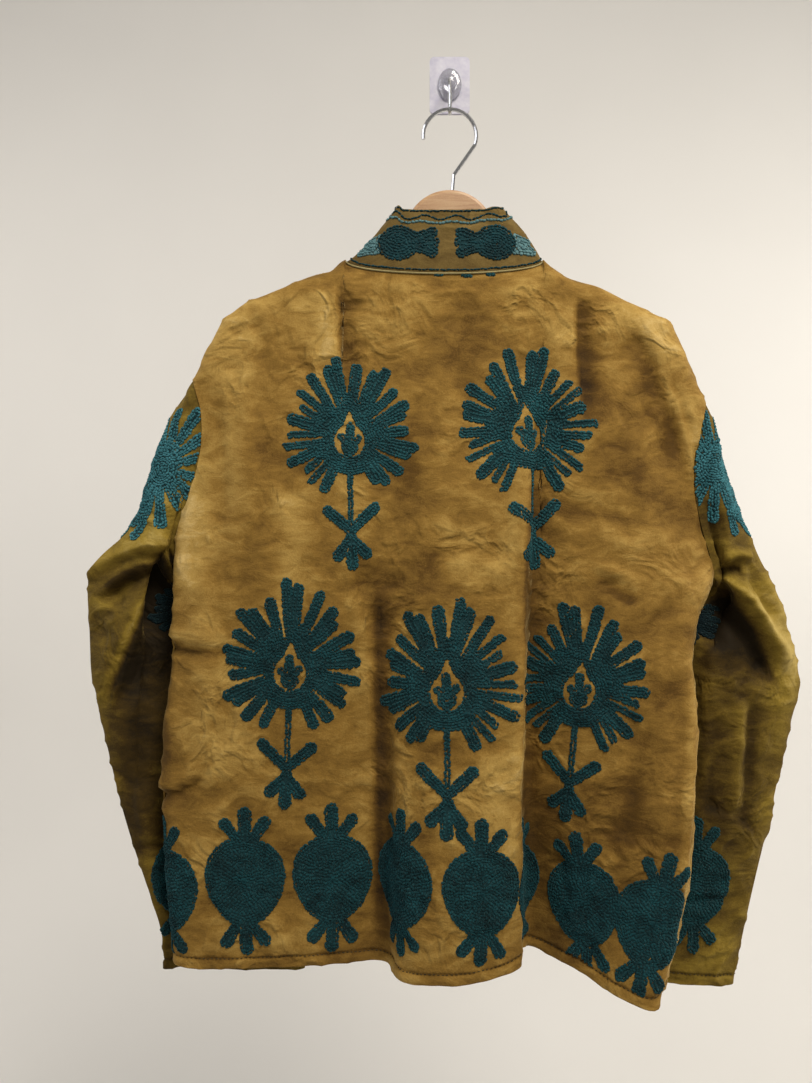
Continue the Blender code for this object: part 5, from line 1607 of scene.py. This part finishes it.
class Needlework:
    """Stitches and ground of one embroidered piece, gathered until it is made.

    All of it stays clear of the hem, by so many metres.
    """

    def __init__(self, clear=HEM_CLEAR):
        self.places, self.cells, self.clear = [], [], clear

    def sew(self, ground, motif, x, y, towards, *how):
        """Lays a motif round the place that shows at a photo pixel."""
        row, column = ground.at_pixel(x, y, towards)
        self.lay(ground, row, column, *drawings[motif], *how)

    def on_cloth(self, ground, r, c):
        """Which places lie on the sheet, clear of its hem."""
        inside = (r > ground.SEWN_ROW) & (c > 1) & (c < ground.points.shape[1] - 2)
        return inside & (ground.sample(ground.to_hem, r, c) > self.clear)

    def lay(self, ground, row, column, stitches, cells, size=1.0, tilt=0.0, flip=False, slide=0):
        """Puts a drawing on the sheet round the given row and column, slid to the right, in mm."""
        turn = math.radians(tilt)
        spin = np.array([[math.cos(turn), -math.sin(turn)], [math.sin(turn), math.cos(turn)]])
        mirror = np.array([-1.0 if flip else 1.0, 1.0])
        slid = np.array([slide * MM, 0.0])
        middle = (stitches[:, :2] * mirror) @ spin.T * size * MM + slid
        way = (stitches[:, 2:] * mirror) @ spin.T * LOOK_AHEAD
        self.add_stitches(ground, row, column, middle, way)
        if len(cells):
            square = GROUND_CELL * np.array([(0, 0), (1, 0), (1, 1), (0, 1)])
            corners = (cells[:, None] + square).reshape(-1, 2)
            corners = (corners * mirror) @ spin.T * size * MM + slid
            r, c = ground.find(row, column, corners[:, 0], corners[:, 1])
            out = ground.sample(ground.normal, r, c)
            place = ground.sample(ground.points, r, c) + out * GROUND_RISE
            good = self.on_cloth(ground, r, c).reshape(-1, 4).all(axis=1)
            self.cells.append(place.reshape(-1, 4, 3)[good])

    def add_stitches(self, ground, row, column, middle, way):
        """Stitches whose middles and ways are measured over the cloth from one place."""
        r, c = ground.find(row, column, middle[:, 0], middle[:, 1])
        r2, c2 = ground.find(row, column, *(middle + way).T)
        place = ground.sample(ground.points, r, c)
        along = ground.sample(ground.points, r2, c2) - place
        length = np.linalg.norm(along, axis=1)
        good = (length > 1e-5) & self.on_cloth(ground, r, c)
        out = ground.sample(ground.normal, r, c)
        along = along / np.maximum(length, 1e-9)[:, None]
        self.places.append(np.concatenate([place, along, out], axis=1)[good])

    def add_row(self, ground, row, column, next_row, next_column):
        """Stitches at rows and columns of the sheet, each pointing at the place ahead."""
        place = ground.sample(ground.points, row, column)
        along = unit(ground.sample(ground.points, next_row, next_column) - place)
        out = ground.sample(ground.normal, row, column)
        self.places.append(np.concatenate([place, along, out], axis=1))

    def make(self, name, material, parent, grain=WOOL_STITCH, lean=WOOL_LEAN):
        """One object with all the stitches, riding on its sheet."""
        place = np.concatenate(self.places)
        point, along, out = place[:, :3], place[:, 3:6], place[:, 6:]
        count = len(point)
        lean = np.where(np.arange(count) % 2, lean, -lean) + chance.normal(
            0, lean * UNEVEN_LEAN, count)
        cos, sin = np.cos(lean)[:, None], np.sin(lean)[:, None]
        beside = unit(np.cross(out, along), 1e-9)
        along, beside = along * cos + beside * sin, beside * cos - along * sin
        point = point + along * chance.normal(0, grain[0] * UNEVEN_ALONG, (count, 1))
        point = point + beside * chance.normal(0, grain[1] * UNEVEN_BESIDE, (count, 1))
        scale = (1 + chance.normal(0, UNEVEN_SIZE, (count, 3))) * grain
        grain = GRAIN[None, :, :] * scale[:, None, :]
        vertices = (
            (point + out * STITCH_RISE)[:, None, :] + grain[..., :1] * along[:, None, :]
            + grain[..., 1:2] * beside[:, None, :] + grain[..., 2:] * out[:, None, :]
        ).reshape(-1, 3)
        first = np.arange(count)[:, None, None] * len(GRAIN)
        faces = (GRAIN_FACES[None] + first).reshape(-1, 3)
        pieces = [piece_of(name, vertices, faces, material)]
        if self.cells:
            quads = np.concatenate(self.cells)
            key, index = np.unique(quads.reshape(-1, 3).round(5), axis=0, return_inverse=True)
            faces = index.reshape(-1, 4)
            # The ground is painted dark as shade, except under the light wool.
            under = material if material is light_wool else painted_shade_wool
            pieces.append(piece_of(name + "_ground", key, faces, under))
        for piece in pieces:
            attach(piece, "root")
            print(piece.name, "triangles", sum(len(f.vertices) - 2 for f in piece.data.polygons))
        return pieces


# %% Motifs on the back
BACK_MOTIFS = [
    # piece, motif, photo x y, size, tilt (degrees) and, where needed, whether it is
    # mirrored and how far it is slid to the right (mm)
    ("upper", "neck_bit", 441, 275, 1.00, 4),
    ("upper", "neck_bit", 468, 276, 0.90, -3),
    ("upper", "neck_bit", 492, 275, 0.75, 0),
    ("upper", "palmette", 350, 433, 0.93, 1),
    ("upper", "palmette_b", 526, 428, 0.97, 2),
    ("lower", "palmette_c", 289, 665, 0.97, -2),
    ("lower", "palmette", 446, 685, 0.99, 1, True),
    ("lower", "palmette_b", 579, 688, 0.94, -6, True),
    ("fruit", "pomegranate", 161, 886, 0.98, 0),
    ("fruit", "pomegranate", 246, 882, 1.00, 0),
    ("fruit", "pomegranate", 333, 878, 1.00, 1, True),
    ("fruit", "pomegranate", 398, 884, 0.96, 0),
    ("fruit", "pomegranate", 481, 895, 0.93, 0, True),
    ("fruit", "pomegranate", 530, 876, 0.88, 0, False, -25),
    ("fruit", "pomegranate", 581, 905, 0.92, 7, True),
    ("fruit", "pomegranate", 653, 926, 0.92, -14),
]
back_pieces = {part: Needlework() for part in ("upper", "lower", "fruit")}
for part, motif, x, y, *how in BACK_MOTIFS:
    back_pieces[part].sew(grounds["back"], motif, x, y, TO_ROOM, *how)
embroidery = {"back": []}
for part, work in back_pieces.items():
    embroidery["back"] += work.make("wool_back_" + part, teal_wool, "back_panel")

# %% Motifs on the sleeves
SLEEVE_MOTIFS = [
    # side, motif, photo x y, which way it faces, size, tilt, mirrored where needed
    ("left", "cut_flower", 161, 469, TO_ROOM, 0.97, 0),
    ("left", "flower_head", 194, 612, TO_ROOM, 0.44, -20, True),
    ("left", "palmette", 186, 500, TO_WALL, 0.94, 24),
    ("left", "palmette", 170, 724, TO_WALL, 0.84, 6, True),
    ("left", "pomegranate", 186, 876, TO_ROOM, 0.92, -6),
    ("left", "pomegranate", 196, 884, TO_WALL, 0.92, 8),
    ("right", "cut_flower", 716, 466, TO_ROOM, 0.92, 0, True),
    ("right", "flower_head", 688, 622, TO_ROOM, 0.44, 10, True),
    ("right", "palmette", 696, 500, TO_WALL, 0.94, -24),
    ("right", "palmette", 704, 722, TO_WALL, 0.84, -6, True),
    ("right", "pomegranate", 694, 886, TO_ROOM, 0.94, -2),
    ("right", "pomegranate", 668, 884, TO_WALL, 0.92, -8),
]
for side in ("left", "right"):
    work, in_elbow, ground = Needlework(), Needlework(), grounds["sleeve_" + side]
    for which, motif, x, y, towards, *how in SLEEVE_MOTIFS:
        if which == side:
            sewn = in_elbow if motif == "flower_head" else work
            sewn.sew(ground, motif, x, y, towards, *how)
    node = "sleeve_" + side
    embroidery[node] = work.make("wool_" + node, sleeve_wool, node)
    embroidery[node] += in_elbow.make("wool_elbow_" + side, shaded_wool, node)

# %% Motifs on the fronts
FRONT_MOTIFS = [
    # side, motif, photo x y as if the back were clear, size, tilt, mirrored where needed
    ("left", "palmette", 276, 436, 0.96, 0),
    ("left", "palmette_b", 300, 672, 1.00, 0),
    ("left", "pomegranate", 190, 884, 0.98, 0),
    ("left", "pomegranate", 276, 882, 0.98, 0, True),
    ("left", "pomegranate", 360, 880, 0.98, 0),
    ("right", "palmette", 590, 436, 0.96, 0, True),
    ("right", "palmette_b", 560, 672, 1.00, 0, True),
    ("right", "pomegranate", 644, 884, 0.98, 0, True),
    ("right", "pomegranate", 566, 884, 0.98, 0),
    ("right", "pomegranate", 486, 880, 0.98, 0, True),
]
for side in ("left", "right"):
    work, ground = Needlework(), grounds[side]
    for which, motif, x, y, *how in FRONT_MOTIFS:
        if which == side:
            work.sew(ground, motif, x, y, TO_WALL, *how)
    embroidery[side] = work.make("wool_front_" + side, teal_wool, "front_panel_" + side)

# %% [markdown]
# ## The collar's needlework
# The collar carries two small fruits that face each other, a dark wavy line over a light
# one near its top edge, and a straight line at each edge. The lines are rows of the same
# stitch, so they are placed by row and column of the collar's own grid.

# %% Fruits and lines on the collar
collar_ground = grounds["collar"]
collar_work, collar_light, collar_dark = (Needlework(COLLAR_CLEAR) for _ in range(3))
COLLAR_FRUITS = [(398, 243, False), (494, 243, True)]
COLLAR_FRUIT_SIZE, WAVE_LENGTH = 1.08, 0.030
for x, y, flip in COLLAR_FRUITS:
    for work, motif in ((collar_work, "collar_bud"), (collar_light, "collar_foot")):
        work.sew(collar_ground, motif, x, y, TO_ROOM, COLLAR_FRUIT_SIZE, 0, flip)


def collar_line(work, share, wave):
    """A row of stitches round the collar at a share of its height, waving by so many rows."""
    rows, columns = collar_ground.points.shape[:2]
    run = run_along(collar_ground.points[int(share * (rows - 1))])
    step = STITCH_STEP * MM
    at = np.arange(step, run[-1] - step, step)
    (r, c), (r2, ahead) = (
        (share * (rows - 1) + wave * np.sin(d / WAVE_LENGTH * 2 * math.pi),
         np.interp(d, run, np.arange(columns))) for d in (at, at + LOOK_AHEAD))
    work.add_row(collar_ground, r, c, r2, ahead)


for work, share, wave in (
    (collar_dark, 0.975, 0.0), (collar_dark, 0.875, 0.7), (collar_light, 0.80, 0.35),
    (collar_dark, 0.06, 0.0),
):
    collar_line(work, share, wave)
embroidery["collar"] = (
    collar_work.make("wool_collar_fruits", collar_wool, "collar")
    + collar_light.make("wool_collar_light", light_wool, "collar", WOOL_STITCH, COLLAR_LEAN)
    + collar_dark.make("wool_collar_lines", collar_wool, "collar", THIN_STITCH, COLLAR_LEAN)
)

# %% [markdown]
# ## Piping and hem stitches
# A thin covered cord is sewn into the seam at the collar's foot, where it hides the
# stitches of that seam. A round tube along the seam makes it. The hems and cuffs are held
# by a row of small running stitches in brown thread, 10 mm above the edge.

# %% Piping round the neck
PIPING_RADIUS, PIPING_SIDES, PIPING_OUT, PIPING_TIP = 0.0009, 8, 0.0007, 0.05


def cord_along(name, points, out, material):
    """A round cord with closed ends along a row of points."""
    way = unit(np.gradient(points, axis=0))
    out = unit(out - way * (out * way).sum(axis=1)[:, None])
    side = np.cross(way, out)
    turn = 2 * math.pi * np.arange(PIPING_SIDES) / PIPING_SIDES
    ring = out[:, None] * np.cos(turn)[:, None] + side[:, None] * np.sin(turn)[:, None]
    thick = np.full((len(points), 1, 1), PIPING_RADIUS)
    thick[[0, -1]] = PIPING_RADIUS * PIPING_TIP
    vertices = points[:, None] + ring * thick
    faces = grid_faces(len(points), PIPING_SIDES, True)
    made = piece_of(name, vertices.reshape(-1, 3), faces, material)
    pick(made)
    bpy.ops.object.mode_set(mode="EDIT")
    bpy.ops.mesh.select_all(action="SELECT")
    bpy.ops.mesh.remove_doubles(threshold=0.0001)
    bpy.ops.mesh.fill_holes(sides=PIPING_SIDES)
    bpy.ops.mesh.normals_make_consistent(inside=False)
    bpy.ops.object.mode_set(mode="OBJECT")
    made.data.shade_smooth()
    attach(made, "root")
    return made


neck = surfaces["collar"][0, 1:-1]
neck_out = normals_of(surfaces["collar"], False, outward["collar"])[0, 1:-1]
piping = cord_along("neck_piping", neck + neck_out * PIPING_OUT, neck_out, piping_cotton)
embroidery["collar"].append(piping)
print("piping faces:", len(piping.data.polygons))

# %% Running stitches in the hems and cuffs
THREAD_UP, THREAD_STEP = 0.0098, 0.0040
for key, (node, velvet, tube) in SHEETS.items():
    if key == "collar":
        continue
    work, ground = Needlework(), grounds[key]
    rows, columns = ground.points.shape[:2]
    height = np.array([
        np.interp(THREAD_UP, ground.to_hem[::-1, k], np.arange(rows)[::-1]) for k in range(columns)])
    run = run_along(ground.sample(ground.points, height, np.arange(columns, dtype=float)))
    third = columns // 3
    begin, end = (run[third], run[2 * third]) if tube else (run[1], run[-2])
    at = np.arange(begin, end, THREAD_STEP)
    c = np.interp(at, run, np.arange(columns))
    ahead = np.interp(at + LOOK_AHEAD, run, np.arange(columns))
    level = np.interp(c, np.arange(columns), height)
    work.add_row(ground, level, c, level, ahead)
    embroidery[key] += work.make(
        "hem_thread_" + node, brown_thread, node, THREAD_STITCH, THREAD_LEAN)

# %% [markdown]

# %% [markdown]
# ## Hanger and wall hook
# These keep their solids. The bar is light beech under clear lacquer, its hook is plated
# steel wire. The stick-on hook has a thin cloudy plastic plate, a clear boss and a steel
# pin.

# %% Materials for wood, metal and clear plastic
def lacquered_beech(name):
    """Beech: straight grain 3 mm apart along the bar, small dark flecks, clear lacquer."""
    made, tree, place = start_material(name, roughness=0.42, coat_weight=0.35, coat_roughness=0.22)
    grain = patches_of(tree, stretched(tree, place, (0.08, 1.0, 1.0)), 0.003, 5.0, 0.5, 0.8)
    tone = blend(tree, 0.2, grain, patches_of(tree, place, 0.0012, 2.0))
    set_shader(
        made, base_color=ramp(tree, tone, [(0.3, "946c4b"), (0.5, "ac8760"), (0.7, "ba9b74")]),
        normal=relief(tree, 0.3, 0.0002, grain))
    return made


def plated_wire(name, colour, rough):
    """Plated steel wire: drawn lines 1.5 mm apart dull the mirror a little."""
    made, tree, place = start_material(name, metallic=1.0)
    lines = patches_of(tree, place, 0.0015, 3.0)
    set_shader(made, base_color=ramp(tree, lines, [(0.3, colour), (0.7, "e6e6e8")]),
               roughness=spread(tree, lines, 0.0, 1.0, rough * 0.7, rough * 1.4))
    return made


def clear_plastic(name, colour, rough, passes):
    """Moulded clear plastic with a faint cloud in it, 6 mm wide."""
    made, tree, place = start_material(name, ior=1.49, transmission_weight=passes)
    cloud = patches_of(tree, place, 0.006, 3.0)
    set_shader(made, base_color=ramp(tree, cloud, [(0.25, colour), (0.75, "d4d3dd")]),
               roughness=spread(tree, cloud, 0.0, 1.0, rough * 0.8, rough * 1.3))
    return made


FINISHES = {
    "hanger_bar": lacquered_beech("beech, clear lacquer"),
    "hanger_hook": plated_wire("chrome plated steel wire", "b8b9bc", 0.14),
    "wall_plate": clear_plastic("cloudy plastic film", "b3b1c6", 0.30, 0.35),
    "wall_boss": clear_plastic("clear moulded plastic", "c9cad4", 0.08, 0.7),
    "wall_pin": plated_wire("steel pin", "8d8c8a", 0.22),
}
for node, finish in FINISHES.items():
    data = frame["nodes"][node].data
    data.materials.clear()
    data.materials.append(finish)
print("solids with a new finish:", ", ".join(FINISHES))

# %% [markdown]
# ## Backdrop and light
# The jacket stands in front of a plain pale backdrop that sweeps from floor to wall, well
# behind it, so that views from the side and from behind are not blocked. One large soft
# light from the upper right models the folds and a weaker one fills from the left. Two
# more light the backdrop from its sides, so it grows paler to the right as in the photo.

# %% Backdrop
BACKDROP_FLOOR, BACKDROP_WALL, BACKDROP_HALF, BACKDROP_BEND = -1.75, 1.7, 7.0, 0.8
BACKDROP_TOP, BACKDROP_NEAR, MOTTLE = 6.0, -7.0, 2 / 3


def backdrop():
    """Paper that hangs down the far wall and sweeps forward over the floor."""
    turn = np.linspace(0, math.pi / 2, 17)
    bend = BACKDROP_WALL - BACKDROP_BEND + BACKDROP_BEND * np.sin(turn)
    y = [BACKDROP_NEAR, *bend, BACKDROP_WALL]
    z = np.array([0.0, *(BACKDROP_BEND * (1 - np.cos(turn))), BACKDROP_TOP]) + BACKDROP_FLOOR
    points = [[(x, b, c) for b, c in zip(y, z)] for x in (-BACKDROP_HALF, BACKDROP_HALF)]
    faces = grid_faces(2, len(y), False)
    made, tree, place = start_material("warm grey backdrop paper", roughness=0.9)
    mottle = patches_of(tree, place, MOTTLE, 2.0)
    set_shader(made, base_color=ramp(tree, mottle, [(0.3, "dad8d4"), (0.7, "dedcd8")]))
    paper = piece_of("backdrop", np.array(points).reshape(-1, 3), faces, made)
    paper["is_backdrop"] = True


backdrop()

# %% Lights
def soft_light(name, place, aim, size, power, colour):
    """A round lamp of a size in metres and a power in watts, turned to its aim."""
    data = bpy.data.lights.new(name, "AREA")
    data.shape = "DISK"
    data.size = size
    data.energy = power
    data.color = linear(colour)[:3]
    made = bpy.data.objects.new(name, data)
    made.location = place
    made.rotation_euler = (Vector(aim) - Vector(place)).to_track_quat("-Z", "Y").to_euler()
    bpy.context.scene.collection.objects.link(made)


soft_light("key", (0.55, -1.25, 1.15), (0.0, -0.05, -0.40), 0.8, 44.0, "fff7ec")
soft_light("fill", (-1.5, -1.3, 0.9), (0.0, -0.05, -0.4), 1.2, 9.0, "f4f6ff")
soft_light("backdrop right", (2.1, 0.15, 0.1), (0.3, 1.7, -0.9), 1.2, 31.0, "fffaf2")
soft_light("backdrop left", (-2.1, 0.15, 0.2), (-0.3, 1.7, -0.8), 1.2, 15.0, "fffaf4")
world = bpy.data.worlds.new("soft room")
world.use_nodes = True
world.node_tree.nodes["Background"].inputs["Color"].default_value = linear("ece8e0")
world.node_tree.nodes["Background"].inputs["Strength"].default_value = 0.28
bpy.context.scene.world = world
bpy.context.scene.view_settings.view_transform = "Standard"

# %% Write the sizes and finish
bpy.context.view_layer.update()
low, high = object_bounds()
print("dressed model, mm:", [round((b - a) * 1000) for a, b in zip(low, high)])
